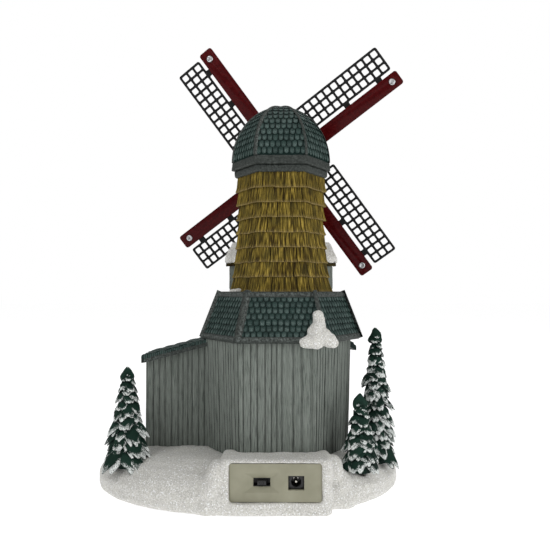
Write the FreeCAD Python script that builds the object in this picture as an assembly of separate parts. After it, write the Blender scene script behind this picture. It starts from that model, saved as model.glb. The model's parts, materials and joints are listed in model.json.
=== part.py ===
"""Table-top winter windmill with motor-driven sails.

A hollow cast ground carries a six-sided plank barn with a lean-to shed, a shingled skirt roof, a thatched
tower and a ribbed dome cap. A gear motor hangs inside the cap and turns four lattice sails on an inclined
windshaft. A slide switch and a low-voltage jack sit in a panel at the back of the ground.

Frame: +Z up, the sails face -Y, the control panel faces +Y. The origin is the centre of the footprint on
the plane of the feet. Millimetres.
"""

import FreeCAD, Part
import math
import os

V = FreeCAD.Vector
UP, BACK = V(0, 0, 1), V(0, 1, 0)

# ---- driving dimensions -------------------------------------------------------------------------
base_width, base_depth = 194.0, 146.0      # footprint of the ground
ground_height = 27.0                       # snow level at the walls
casting_wall = 5.0
foot_height, foot_radius = 1.2, 6.0
cover_thickness, cover_ledge = 2.2, 3.0
seat_clearance = 0.15                      # between glued castings
socket_depth = 6.0                         # how deep the walls stand in the ground

mill_x, mill_y = -21.7, 11.0               # the tower's axis in the footprint
barn_shift = 2.0                           # the barn stands a little towards the shed
barn_height = 70.0                         # ground to eave
barn_radius_top, barn_radius_foot = 47.0, 44.5
wall = 3.0

skirt_height = 30.0
eave_radius, ledge_radius = 51.2, 39.5
trim_proud, hip_width = 0.9, 4.2
eave_band, ledge_band = 3.8, 4.0

tower_height = 74.0
tower_radius_foot, tower_radius_waist, tower_radius_top = 31.6, 27.2, 28.2
tower_waist_share = 0.6
tower_courses, course_flare = 8, 0.8

curb_radius, curb_height = 30.7, 4.0
cap_ring_radius, cap_ring_height, cap_gap = 32.7, 5.4, 0.6
ring_opening_radius = 24.5
dome_radius, dome_height, dome_levels = 31.0, 36.0, 9
rib_width, rib_proud = 2.5, 0.8

shed_length, shed_depth, shed_drop = 38.0, 40.0, 10.0   # outwards, towards the front, fall of its roof
shed_wall_height = 65.0                                 # at the barn, above the ground
shed_roof_thickness, shed_overhang = 3.6, 2.6

window_width, window_height = 12.0, 16.0
frame_border, frame_proud, pane_thickness = 1.8, 1.0, 1.2
bar_width, sill_reach, sill_proud, sill_height = 1.2, 2.6, 1.2, 1.2
door_width, door_height, door_thickness = 15.0, 28.0, 2.0
awning_width, awning_reach, awning_fall, awning_thickness = 40.0, 7.5, 6.0, 2.4

dormer_width, dormer_reach, dormer_height = 14.0, 8.6, 19.0
dormer_gable, dormer_snow, dormer_thatch, dormer_eave, dormer_wall = 8.0, 2.6, 1.6, 2.2, 1.8

panel_width, panel_height, panel_thickness = 52.0, 21.4, 2.6
panel_x_offset, panel_reach = 3.0, 58.5    # from the tower's axis
panel_clearance = 0.2
panel_drop = 7.4                           # from the snow's level down to the panel's middle
hood_border, hood_rise, hood_round, hood_lip = 6.0, 2.2, 5.0, 1.5
switch_slot_width, switch_slot_height = 9.6, 4.8
switch_offset, jack_offset = 7.8, 11.6     # from the panel's middle, seen from the back: left and right
funnel_width, funnel_height, funnel_depth = 20.0, 11.0, 1.9
switch_travel = 2.2
jack_face_width, jack_face_height, jack_length = 9.0, 8.0, 11.0
jack_bore_radius, jack_pin_radius, jack_bore_depth = 2.85, 1.0, 9.0
jack_pin_free, jack_pin_root_radius = 8.0, 1.5
board_thickness = 1.2

tilt_deg, yaw_deg = 11.0, 8.0              # the windshaft rises to the front and swings to one side
hub_reach, hub_rise, hub_shift = 48.0, 9.0, 4.2   # hub from the tower's axis, above the cap ring, sideways
shaft_radius, shaft_clearance = 1.5, 0.05
spar_length, spar_width, spar_thickness, spar_root = 99.0, 10.4, 2.4, 5.4
lattice_pitch, lattice_bar, lattice_thickness = 5.78, 1.7, 1.6
lattice_cells_long, lattice_cells_wide = 13, 3
lattice_gap, lattice_tip = 3.4, 96.5       # from the spar's edge, and the far end from the hub
tab_width, tab_overlap = 4.6, 2.4
tab_places = (31.0, 58.5, 86.0)
sail_rest_deg = 35.5                       # the first spar's angle above level, seen from the back
rivet_radius, rivet_inset = 2.3, 6.5
hub_radius, hub_plate, hub_boss_radius, hub_boss_length = 11.5, 2.5, 4.5, 6.5
hub_cap_thickness = 2.4

gear_module, small_teeth, large_teeth = 0.4, 12, 36
gear_addendum, gear_dedendum, gear_backlash = 0.75, 1.15, 0.10
pressure_angle = math.radians(20)
gear_face, gear_gap = 2.8, 0.3
gear_running, arbor_radius = 0.05, 1.0
gearbox_wall, gearbox_cover, gear_room = 1.4, 2.0, 0.6
motor_radius, motor_length = 9.0, 20.0
block_front, block_length, block_flange = 13.0, 21.0, 5.0
block_half_width = 7.5
block_below, block_above = 4.6, 7.5
bush_radius, bush_flange_radius, bush_flange, bush_length = 3.0, 4.0, 0.8, 8.0
ear_reach, ear_radius, ear_thickness = 2.3, 2.4, 2.0   # reach: from the housing's side to its screws
screw_radius, screw_head_radius, screw_head = 0.8, 1.6, 1.0

lamp_radius, lamp_height, lamp_stem = 2.5, 8.5, 12.0

# ---- levels and places --------------------------------------------------------------------------
rim_z = foot_height
ground_z = rim_z + ground_height - foot_height
barn_foot_z = ground_z - socket_depth
eave_z = ground_z + barn_height
ledge_z = eave_z + skirt_height
tower_top_z = ledge_z + tower_height
curb_top_z = tower_top_z + curb_height
cap_ring_z = curb_top_z + cap_gap
dome_z = cap_ring_z + cap_ring_height
hub_z = dome_z + hub_rise
barn_x = mill_x + barn_shift
panel_y = mill_y + panel_reach
panel_x = mill_x + panel_x_offset
panel_z = ground_z - panel_drop
cosine30 = math.cos(math.radians(30))


# ---- helpers ------------------------------------------------------------------------------------
def box(x0, x1, y0, y1, z0, z1):
    return Part.makeBox(x1 - x0, y1 - y0, z1 - z0, V(x0, y0, z0))


def cylinder(radius, start, end):
    start, end = V(*start), V(*end)
    return Part.makeCylinder(radius, (end - start).Length, start, end - start)


def joined(*shapes):
    return shapes[0].multiFuse(list(shapes[1:])).removeSplitter()


def hexagon(radius, z, x, y):
    """Corner points of a hexagon with a side facing the back."""
    corners = (math.radians(60 * i) for i in range(6))
    return [V(x + radius * math.cos(a), y + radius * math.sin(a), z) for a in corners]


def hex_solid(profile, x=mill_x, y=mill_y):
    """A six-sided solid from (radius, z) rings, lowest first; its sides are flat."""
    rings = [hexagon(radius, z, x, y) for radius, z in profile]
    faces = [Part.Face(Part.makePolygon(rings[0] + rings[0][:1]))]
    faces.append(Part.Face(Part.makePolygon(rings[-1] + rings[-1][:1])))
    for low, high in zip(rings, rings[1:]):
        for i in range(6):
            j = (i + 1) % 6
            corners = [low[i], low[j], high[j], high[i], low[i]]
            faces.append(Part.Face(Part.makePolygon(corners)))
    shell = Part.makeShell(faces)
    shell.sewShape()
    solid = Part.makeSolid(shell)
    return solid if solid.Volume > 0 else solid.reversed()


def on_side(shape, degrees, x=mill_x, y=mill_y):
    """Turns a shape built for the back side (facing +Y, about x=0, y=0) to the side at that angle from it."""
    turned = shape.copy()
    turned.rotate(V(0, 0, 0), UP, degrees)
    turned.translate(V(x, y, 0))
    return turned


def mill_frame():
    """Placement of the windshaft's own frame: origin at the hub, y back along the shaft, z up."""
    turn = FreeCAD.Rotation(UP, -yaw_deg).multiply(FreeCAD.Rotation(V(1, 0, 0), -tilt_deg))
    return FreeCAD.Placement(V(mill_x - hub_shift, mill_y - hub_reach, hub_z), turn)


def to_mill(shape):
    """Moves a shape from the windshaft's frame into the part's frame."""
    moved = shape.copy()
    moved.Placement = mill_frame().multiply(moved.Placement)
    return moved


def rod(radius, y0, y1, x=0.0, z=0.0):
    """A cylinder along the windshaft's own y."""
    return cylinder(radius, (x, y0, z), (x, y1, z))


# ---- ground -------------------------------------------------------------------------------------
ground_profile = (  # share of the footprint, share of the height, from the rim to the crown
    (0.965, 0.0), (1.0, 0.12), (1.0, 0.42), (0.965, 0.62), (0.895, 0.80), (0.80, 0.94), (0.70, 1.0))


def ellipse_wire(half_x, half_y, z):
    """An ellipse about the origin; its long side is along X whichever is longer."""
    if half_x >= half_y:
        curve = Part.Ellipse(V(0, 0, z), half_x, half_y)
    else:
        curve = Part.Ellipse(V(0, half_y, z), V(-half_x, 0, z), V(0, 0, z))
    return Part.Wire(curve.toShape())


def ground_body(inset, lowest, drop):
    """The ground's smooth outer form, inset sideways by inset and lowered by drop."""
    wires = []
    for share, rise in ground_profile:
        z = rim_z + rise * (ground_z - rim_z - drop)
        if rise == 0:
            z = lowest
        wires.append(ellipse_wire(share * base_width / 2 - inset, share * base_depth / 2 - inset, z))
    return Part.makeLoft(wires, True, True)


def elliptic_plate(inset, z0, z1):
    share = ground_profile[0][0]
    wire = ellipse_wire(share * base_width / 2 - inset, share * base_depth / 2 - inset, z0)
    return Part.Face(wire).extrude(V(0, 0, z1 - z0))


def ring_points(share, angles):
    """Points round the footprint, at that share of the way out."""
    turns = (math.radians(a) for a in angles)
    return [(share * base_width / 2 * math.cos(a), share * base_depth / 2 * math.sin(a)) for a in turns]


cover_edge = casting_wall - 1.0            # how far in the cover's rebate starts
screw_places = ring_points(0.72, (20, 160, 200, 340))
foot_places = ring_points(0.72, (45, 135, 225, 315))
boss_radius = 4.5
cover_screw_radius, cover_head_radius, cover_head = 1.4, 2.8, 1.2
cover_top_z = rim_z + cover_thickness
cover_screw_top_z = cover_top_z + 7.0
panel_top_z = panel_z + panel_height / 2
panel_bottom_z = panel_z - panel_height / 2
hood_top_z = panel_top_z + hood_rise
barn_back_y = mill_y + barn_radius_foot * cosine30

pad_border, pad_thickness, panel_lip = 3.0, 3.5, 1.5

# A tree: place, level of its lowest tips, radius there, height
trees = {
    "tree_shed_side": (72.5, 31.0, 19.5, 14.0, 61.0),
    "tree_tall": (-81.0, 18.5, 19.5, 13.0, 84.5),
    "tree_small": (-68.5, 43.0, 18.0, 10.8, 48.0),
}
tree_tiers, trunk_radius, peg_length = 7, 3.0, 6.0


def peg_floor(tips_z):
    """Level of the bottom of the hole that a trunk's peg stands in."""
    return tips_z - peg_length


def hood():
    """The rounded box of snow that frames the panel."""
    half = panel_width / 2 + hood_border
    block = box(panel_x - half, panel_x + half, barn_back_y - 6, panel_y + hood_lip, rim_z, hood_top_z)
    upright = [e for e in block.Edges
               if abs(e.tangentAt(e.FirstParameter).z) > 0.99 and e.CenterOfMass.y > barn_back_y]
    block = block.makeFillet(min(hood_round, hood_border * 0.8), upright)
    top = [e for e in block.Edges if e.BoundBox.ZMin > hood_top_z - 0.01 and e.CenterOfMass.y > barn_back_y - 5]
    return block.makeFillet(hood_round * 0.6, top)


def base_void():
    """The room under the ground, with the pads that carry the walls, the trees and the cover left standing."""
    room = ground_body(casting_wall + cover_ledge, rim_z - 1, casting_wall)
    pads = [hex_solid([(barn_radius_foot + pad_border, barn_foot_z - pad_thickness),
                       (barn_radius_foot + pad_border, ground_z)], barn_x),
            shed_block(pad_border, barn_foot_z - pad_thickness, ground_z)]
    pads += [cylinder(boss_radius, (x, y, cover_top_z), (x, y, ground_z)) for x, y in screw_places]
    pads += [cylinder(trunk_radius + pad_border, (x, y, peg_floor(z) - pad_thickness), (x, y, ground_z))
             for x, y, z, _, _ in trees.values()]
    well_radius = barn_radius_foot - wall - pad_border
    well = hex_solid([(well_radius, cover_top_z + 1), (well_radius, ground_z + 1)], barn_x)
    half = panel_width / 2 - panel_lip
    behind = box(panel_x - half, panel_x + half, barn_back_y + 1.5 + seat_clearance,
                 panel_y - panel_thickness + 1, cover_top_z, panel_top_z - panel_lip)
    return room.cut(Part.makeCompound(pads)).fuse(well).fuse(behind)


def base_casting():
    body = ground_body(0.0, rim_z, 0.0).fuse(hood())
    clear = panel_clearance
    pocket = box(panel_x - panel_width / 2 - clear, panel_x + panel_width / 2 + clear,
                 panel_y - panel_thickness, panel_y + 4 * hood_lip, panel_bottom_z - clear, panel_top_z + clear)
    socket_top = hood_top_z + 1
    socket = hex_solid([(barn_radius_foot + seat_clearance, barn_foot_z),
                        (barn_radius(socket_top) + seat_clearance, socket_top)], barn_x)
    shell = body.cut(base_void()).cut(elliptic_plate(cover_edge, rim_z - 1, cover_top_z))
    for tool in (pocket, socket, shed_block(seat_clearance, barn_foot_z, ground_z + 30),
                 steps_block(seat_clearance, ground_z - 4)):
        shell = shell.cut(tool)
    for x, y, z, _, _ in trees.values():
        shell = shell.cut(cylinder(trunk_radius + seat_clearance, (x, y, peg_floor(z)), (x, y, ground_z + 1)))
    for x, y in screw_places:
        shell = shell.cut(cylinder(cover_screw_radius, (x, y, rim_z - 1), (x, y, cover_screw_top_z)))
    return shell


def base_cover():
    plate = elliptic_plate(cover_edge + panel_clearance, rim_z, cover_top_z)
    for x, y in screw_places:
        plate = plate.cut(cylinder(cover_screw_radius + 0.1, (x, y, rim_z - 1), (x, y, cover_top_z + 1)))
        plate = plate.cut(cylinder(cover_head_radius + 0.2, (x, y, rim_z - 1), (x, y, rim_z + cover_head)))
    return plate


def cover_screws():
    made = []
    for x, y in screw_places:
        head = cylinder(cover_head_radius, (x, y, rim_z + 0.1), (x, y, rim_z + cover_head))
        shank = cylinder(cover_screw_radius, (x, y, rim_z + cover_head), (x, y, cover_screw_top_z))
        slot = box(x - 0.4, x + 0.4, y - 1.8, y + 1.8, rim_z, rim_z + 0.7)
        made.append(head.fuse(shank).cut(slot).cut(slot.rotated(V(x, y, 0), UP, 90)))
    return Part.makeCompound(made)


def rubber_feet():
    return Part.makeCompound([
        Part.makeCone(foot_radius - 0.5, foot_radius, foot_height, V(x, y, 0)) for x, y in foot_places])


# ---- control panel ------------------------------------------------------------------------------
switch_x = panel_x + switch_offset          # +X is to the left seen from the back
jack_x = panel_x - jack_offset
switch_body_depth, switch_body_height, switch_body_width = 6.0, 6.4, 13.0
panel_back_y = panel_y - panel_thickness
board_z = panel_z - jack_face_height / 2 - board_thickness   # underside of the board
board_depth = jack_length + 1.5
board_side = 5.0                           # board past the jack and the switch, for a ledge and its screw
board_x0 = jack_x - jack_face_width / 2 - board_side
board_x1 = switch_x + switch_body_width / 2 + board_side
ledge_thickness, ledge_reach, ledge_width = 1.6, 9.0, 5.0
board_ledges = (board_x0 + ledge_width / 2, board_x1 - ledge_width / 2)
board_screw_y = panel_back_y - 6.0


def rectangle(x, y, z, width, height):
    half, rise = width / 2, height / 2
    corners = [V(x + i * half, y, z + j * rise) for i, j in ((-1, -1), (1, -1), (1, 1), (-1, 1))]
    return Part.makePolygon(corners + corners[:1])


def rear_panel():
    plate = box(panel_x - panel_width / 2, panel_x + panel_width / 2, panel_back_y, panel_y,
                panel_bottom_z, panel_top_z)
    throat = rectangle(switch_x, panel_y - funnel_depth, panel_z, switch_slot_width, switch_slot_height)
    mouth = rectangle(switch_x, panel_y, panel_z, funnel_width, funnel_height)
    funnel = Part.makeLoft([throat, mouth], True, True)
    slot = box(switch_x - switch_slot_width / 2, switch_x + switch_slot_width / 2, panel_back_y - 1, panel_y,
               panel_z - switch_slot_height / 2, panel_z + switch_slot_height / 2)
    window = box(jack_x - jack_face_width / 2, jack_x + jack_face_width / 2, panel_back_y - 1, panel_y + 1,
                 panel_z - jack_face_height / 2, panel_z + jack_face_height / 2)
    plate = plate.cut(funnel).cut(slot).cut(window)
    for x in board_ledges:
        ledge = box(x - ledge_width / 2, x + ledge_width / 2, panel_back_y - ledge_reach, panel_back_y,
                    board_z - ledge_thickness, board_z)
        hole = cylinder(screw_radius, (x, board_screw_y, board_z - 5), (x, board_screw_y, board_z + 1))
        plate = plate.fuse(ledge).cut(hole)
    return plate.removeSplitter()


def control_board():
    board = box(board_x0, board_x1, panel_back_y - board_depth, panel_back_y - panel_clearance,
                board_z, board_z + board_thickness)
    for x in board_ledges:
        board = board.cut(cylinder(screw_radius + 0.1, (x, board_screw_y, board_z - 5),
                                   (x, board_screw_y, board_z + 5)))
    return board


def board_screws():
    top = board_z + board_thickness
    made = []
    for x in board_ledges:
        shank = cylinder(screw_radius, (x, board_screw_y, board_z - ledge_thickness), (x, board_screw_y, top))
        head = cylinder(screw_head_radius, (x, board_screw_y, top), (x, board_screw_y, top + screw_head))
        made.append(shank.fuse(head))
    return Part.makeCompound(made)


def slide_switch_body():
    """An open-fronted housing: the knob's foot slides in its slot."""
    low = board_z + board_thickness
    y0 = panel_back_y - switch_body_depth
    body = box(switch_x - switch_body_width / 2, switch_x + switch_body_width / 2, y0, panel_back_y,
               low, panel_z + switch_body_height / 2)
    slot = box(switch_x - switch_slot_width / 2, switch_x + switch_slot_width / 2, y0 + 1.5, panel_back_y + 1,
               panel_z - switch_slot_height / 2 + 0.4, panel_z + switch_slot_height / 2 - 0.4)
    return body.cut(slot)


knob_clearance = 0.15
knob_width, knob_height = switch_slot_width - 2 * (switch_travel + knob_clearance), 2.6


def switch_knob():
    """A thumb nub with a flat foot that stays inside the switch."""
    foot_half = switch_slot_height / 2 - 0.4 - knob_clearance
    x0, x1 = switch_x - knob_width / 2, switch_x + knob_width / 2
    foot_back = panel_back_y - switch_body_depth + 1.7
    neck_y = panel_back_y - 0.6
    foot = box(x0, x1, foot_back, neck_y, panel_z - foot_half, panel_z + foot_half)
    nub = box(x0, x1, neck_y, panel_y - 0.3, panel_z - knob_height / 2, panel_z + knob_height / 2)
    for i in (-1, 0, 1):
        nub = nub.cut(box(switch_x + i * 1.1 - 0.2, switch_x + i * 1.1 + 0.2, panel_y - 0.7, panel_y,
                          panel_z - knob_height, panel_z + knob_height))
    return foot.fuse(nub).removeSplitter()


def jack_rod(radius, y0, y1):
    """A cylinder on the jack's axis, between two depths from the panel's back."""
    return cylinder(radius, (jack_x, panel_back_y + y0, panel_z), (jack_x, panel_back_y + y1, panel_z))


def dc_jack_housing():
    half = jack_face_width / 2
    low = board_z + board_thickness
    body = box(jack_x - half, jack_x + half, panel_back_y - jack_length, panel_back_y, low,
               panel_z + jack_face_height / 2)
    body = body.cut(jack_rod(jack_bore_radius, -jack_bore_depth, 1))
    return body.cut(jack_rod(jack_pin_root_radius, -jack_length, 1))


def dc_jack_pin():
    """A round-ended pin that stands free in the barrel, on a thicker root in the barrel's floor."""
    end = jack_pin_free - jack_bore_depth
    tip = Part.makeSphere(jack_pin_radius, V(jack_x, panel_back_y + end, panel_z))
    return joined(jack_rod(jack_pin_root_radius, -jack_length, -jack_bore_depth),
                  jack_rod(jack_pin_radius, -jack_bore_depth, end), tip)


# ---- barn and shed ------------------------------------------------------------------------------
def barn_radius(z):
    share = (z - barn_foot_z) / (eave_z - barn_foot_z)
    return barn_radius_foot + (barn_radius_top - barn_radius_foot) * share


def barn_solid(inset=0.0):
    return hex_solid([(barn_radius_foot - inset, barn_foot_z), (barn_radius_top - inset, eave_z)], barn_x)


shed_x0, shed_x1 = barn_x + barn_radius_foot / 2, barn_x + barn_radius_top + shed_length
shed_y1 = mill_y
shed_y0 = shed_y1 - shed_depth
shed_high_z = ground_z + shed_wall_height


def shed_block(grow, z0, z1):
    """The shed's plan as a plain block."""
    return box(shed_x0, shed_x1 + grow, shed_y0 - grow, shed_y1 + grow, z0, z1)


def shed_slope(lift, rise):
    """The wedge of space above the shed's rafters, lifted by lift."""
    x0, x1 = shed_x0 - 5, shed_x1 + 30
    fall = shed_drop / shed_length
    start = shed_high_z + lift - (x0 - (barn_x + barn_radius_top)) * fall
    end = shed_high_z + lift - (x1 - (barn_x + barn_radius_top)) * fall
    y0, y1 = shed_y0 - 60, shed_y1 + 60
    side = Part.makePolygon([V(x0, y0, start), V(x1, y0, end), V(x1, y0, end + rise), V(x0, y0, start + rise),
                             V(x0, y0, start)])
    return Part.Face(side).extrude(V(0, y1 - y0, 0))


def opening(width, height, foot_z, depth=12.0):
    """A doorway or window hole for the back side, centred on it, before it is turned into place."""
    return box(-width / 2, width / 2, -depth, depth, foot_z, foot_z + height)


def barn_face(z):
    """Distance from the barn's axis to its side at that level."""
    return barn_radius(z) * cosine30


barn_window_z = ground_z + 26.0
shed_window_z = ground_z + 16.0
shed_window_x = (barn_x + barn_radius_top + shed_x1) / 2 - 1.0
tower_window_z = ledge_z + 22.0
front, window_side = 180.0, 120.0          # sides counted from the back: the door's, and the barn window's


def barn_layer(proud, depth):
    """The layer of the barn's wall from proud outside its face to depth inside it."""
    return barn_solid(-proud).cut(barn_solid(depth))


def barn_opening(width, height, foot_z, side):
    """A doorway or window hole's block, through the barn's wall on that side."""
    reach = barn_radius_top * cosine30
    block = box(-width / 2, width / 2, reach - 4 * wall, reach + wall, foot_z, foot_z + height)
    return on_side(block, side, barn_x)


def barn_walls():
    room = hex_solid([(barn_radius_foot - wall, barn_foot_z - 1), (barn_radius_top - wall, eave_z + 1)], barn_x)
    body = barn_solid().cut(room)
    body = body.cut(barn_opening(window_width, window_height, barn_window_z, window_side))
    return body.cut(barn_opening(door_width, door_height, ground_z, front))


def shed_walls():
    outer = shed_block(0.0, barn_foot_z, shed_high_z + 20)
    inner = box(barn_x, shed_x1 - wall, shed_y0 + wall, shed_y1 - wall, barn_foot_z - 1, shed_high_z + 21)
    hole = box(shed_window_x - window_width / 2, shed_window_x + window_width / 2, shed_y0 - 5, shed_y0 + 5,
               shed_window_z, shed_window_z + window_height)
    body = outer.cut(inner).cut(shed_slope(0.0, 60)).cut(hole).cut(barn_solid()).cut(skirt_envelope(0.0))
    return largest(body)


def largest(shape):
    """The main piece of a cut, without the scraps it leaves elsewhere."""
    return max(shape.Solids, key=lambda s: s.Volume)


def shed_roof():
    slab = shed_slope(0.0, shed_roof_thickness)
    plan = box(shed_x0, shed_x1 + shed_overhang, shed_y0 - shed_overhang, shed_y1 + shed_overhang,
               0, 2 * ledge_z)
    return largest(slab.common(plan).cut(barn_solid()).cut(skirt_envelope(0.0)))


# ---- skirt roof ---------------------------------------------------------------------------------
def skirt_radius(z):
    return eave_radius + (ledge_radius - eave_radius) * (z - eave_z) / skirt_height


def skirt_envelope(grow):
    """The roof with its trim, filled, grown by grow all round."""
    out = trim_proud + grow
    return hex_solid([(eave_radius + out, eave_z - grow), (ledge_radius + out, ledge_z + grow)])


soffit, roof_shell = 2.4, 3.4
collar_height, collar_thickness, collar_clearance = 3.0, 2.0, 0.25


def skirt_roof():
    outer = hex_solid([(eave_radius, eave_z), (ledge_radius, ledge_z)])
    inner = hex_solid([(skirt_radius(eave_z + soffit) - roof_shell / cosine30, eave_z + soffit),
                       (skirt_radius(ledge_z - soffit) - roof_shell / cosine30, ledge_z - soffit)])
    mouth_radius = barn_radius_top - wall - collar_clearance
    mouth = hex_solid([(mouth_radius - collar_thickness, eave_z - 5),
                       (mouth_radius - collar_thickness, eave_z + soffit + 1)], barn_x)
    top_mouth = tower_radius_foot - wall - collar_clearance - collar_thickness
    upper = hex_solid([(top_mouth, ledge_z - soffit - 1), (top_mouth, ledge_z + 5)])
    low_collar = hex_solid([(mouth_radius, eave_z - collar_height), (mouth_radius, eave_z)], barn_x)
    high_collar = hex_solid([(top_mouth + collar_thickness, ledge_z), (top_mouth + collar_thickness - 0.8,
                                                                      ledge_z + collar_height)])
    return joined(outer, low_collar, high_collar).cut(inner).cut(mouth).cut(upper)


def hip_slabs(width, reach, z0, z1):
    """Six upright slabs along the corner planes."""
    slab = box(0, reach, -width / 2, width / 2, z0, z1)
    return [on_corner(slab, 60 * i) for i in range(6)]


def on_corner(shape, degrees):
    turned = shape.copy()
    turned.rotate(V(0, 0, 0), UP, degrees)
    turned.translate(V(mill_x, mill_y, 0))
    return turned


def skirt_roof_trim():
    """The raised frame over the shingles: eave band, ledge band and hips."""
    layer = hex_solid([(eave_radius + trim_proud, eave_z), (ledge_radius + trim_proud, ledge_z)])
    layer = layer.cut(hex_solid([(eave_radius, eave_z), (ledge_radius, ledge_z)]))
    reach = 2 * eave_radius
    bands = [box(mill_x - reach, mill_x + reach, mill_y - reach, mill_y + reach, eave_z, eave_z + eave_band),
             box(mill_x - reach, mill_x + reach, mill_y - reach, mill_y + reach, ledge_z - ledge_band, ledge_z)]
    frame = joined(*bands, *hip_slabs(hip_width, reach, eave_z, ledge_z))
    return layer.common(frame).removeSplitter()


# ---- tower and cap ------------------------------------------------------------------------------
def tower_radius(share):
    """Radius of the bare tower at a share of its height: two parabolas that meet at the waist."""
    if share < tower_waist_share:
        left = 1 - share / tower_waist_share
        return tower_radius_waist + (tower_radius_foot - tower_radius_waist) * left ** 2
    past = (share - tower_waist_share) / (1 - tower_waist_share)
    return tower_radius_waist + (tower_radius_top - tower_radius_waist) * past ** 2


def tower_outer():
    profile = []
    for i in range(tower_courses):
        low, high = i / tower_courses, (i + 1) / tower_courses
        profile.append((tower_radius(low) + course_flare, ledge_z + low * tower_height))
        profile.append((tower_radius(high), ledge_z + high * tower_height))
    return hex_solid(profile)


def tower_inner():
    steps = 4
    return hex_solid([(tower_radius(i / steps) - wall / cosine30 + 0.2, ledge_z + i / steps * tower_height)
                      for i in range(steps + 1)])


def tower_walls():
    foot = hex_solid([(tower_radius_foot - wall, ledge_z - 1),
                      (tower_radius_foot - wall, ledge_z + collar_height)])
    hole = opening(tower_window_width, tower_window_height, tower_window_z)
    hole.translate(V(0, tower_radius_waist * cosine30, 0))
    body = tower_outer().cut(tower_inner()).cut(foot).cut(on_side(hole, front))
    for side in dormer_sides:
        hole = opening(dormer_width - 5.0, dormer_height - 5.0, ledge_z + 2.0)
        hole.translate(V(0, tower_radius_foot * cosine30, 0))
        body = body.cut(on_side(hole, side))
    return body


def curb_ring():
    ring = hex_solid([(curb_radius - 0.6, tower_top_z), (curb_radius, curb_top_z),
                      (curb_radius - 1.0, curb_top_z), (curb_radius - 1.0, cap_ring_z)])
    return ring.cut(hex_solid([(ring_opening_radius - 1.0, tower_top_z - 1),
                               (ring_opening_radius - 1.0, cap_ring_z + 1)]))


def cap_ring():
    """The upper ring; the bearing block sits in a notch in its top."""
    ring = hex_solid([(cap_ring_radius, cap_ring_z), (cap_ring_radius - 0.8, dome_z)])
    ring = ring.cut(hex_solid([(ring_opening_radius, cap_ring_z - 1), (ring_opening_radius, dome_z + 1)]))
    return ring.cut(to_mill(block_envelope(0.0)))


def dome_solid(grow, z0=None):
    """Rings on a quarter ellipse; the highest is a small flat crown."""
    profile = []
    for i in range(dome_levels):
        turn = math.radians(86.0 * i / (dome_levels - 1))
        profile.append(((dome_radius + grow) * math.cos(turn), dome_z + (dome_height + grow) * math.sin(turn)))
    return hex_solid(profile)


def block_envelope(grow):
    """The bearing block's section, in the windshaft's frame."""
    return joined(
        box(-block_half_width - grow, block_half_width + grow, block_front, block_front + block_length,
            -block_below - grow, block_above + grow),
        box(-block_flange_half_width - grow, block_flange_half_width + grow,
            block_front + block_length - block_flange, block_front + block_length,
            -block_below - grow, block_above + grow))


def cap_dome():
    shell = dome_solid(0.0).cut(dome_solid(-wall / cosine30))
    below = box(mill_x - 99, mill_x + 99, mill_y - 99, mill_y + 99, dome_z - 20, dome_z)
    return shell.cut(below).cut(to_mill(block_envelope(0.1)))


def cap_ribs():
    layer = dome_solid(rib_proud).cut(dome_solid(0.0))
    slabs = hip_slabs(rib_width, dome_radius * 1.5, dome_z, dome_z + 2 * dome_height)
    crown = cylinder(2.6, (mill_x, mill_y, dome_z), (mill_x, mill_y, dome_z + 2 * dome_height))
    return layer.common(joined(*slabs, crown)).removeSplitter()


# ---- dormers, windows, door ---------------------------------------------------------------------
dormer_sides = (120.0, -120.0)
dormer_face = tower_radius_foot * cosine30 + dormer_reach   # its front, from the tower's axis


def roofed_block(width, y0, y1, z0, wall_top, gable):
    """A block with a gabled top, facing the back side."""
    half = width / 2
    outline = [V(-half, y0, z0), V(half, y0, z0), V(half, y0, wall_top), V(0, y0, wall_top + gable),
               V(-half, y0, wall_top)]
    return Part.Face(Part.makePolygon(outline + outline[:1])).extrude(V(0, y1 - y0, 0))


def dormer_walls():
    solids = []
    for side in dormer_sides:
        outer = roofed_block(dormer_width, 10, dormer_face, eave_z, ledge_z + dormer_height, dormer_gable)
        inner = roofed_block(dormer_width - 2 * dormer_wall, 9, dormer_face - dormer_wall, eave_z,
                             ledge_z + dormer_height - dormer_wall, dormer_gable - dormer_wall)
        hole = opening(dormer_window_width, dormer_window_height, ledge_z + dormer_sill, 4.0)
        hole.translate(V(0, dormer_face, 0))
        block = on_side(outer.cut(inner).cut(hole), side)
        block = block.cut(tower_outer()).cut(skirt_envelope(0.02))
        solids += [s for s in block.Solids if s.Volume > 20]
    return Part.makeCompound(solids)


def dormer_layer(lift, thickness, overhang):
    """One layer over both dormers' gables, lift above the rafters."""
    top = ledge_z + dormer_height
    slope = math.atan2(dormer_gable, dormer_width / 2)
    half = dormer_width / 2 + dormer_eave
    drop = dormer_eave * math.tan(slope)
    low, high = lift / math.cos(slope), (lift + thickness) / math.cos(slope)
    foot, ridge = top - drop, top + dormer_gable
    outline = [V(-half, 10, foot + low), V(0, 10, ridge + low), V(half, 10, foot + low),
               V(half, 10, foot + high), V(0, 10, ridge + high), V(-half, 10, foot + high)]
    slab = Part.Face(Part.makePolygon(outline + outline[:1])).extrude(V(0, dormer_face + overhang - 10, 0))
    return [largest(on_side(slab, side).cut(tower_outer())) for side in dormer_sides]


def dormer_roofs():
    """The dormers' thatched gable roofs."""
    return Part.makeCompound(dormer_layer(0.0, dormer_thatch, 1.2))


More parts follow.
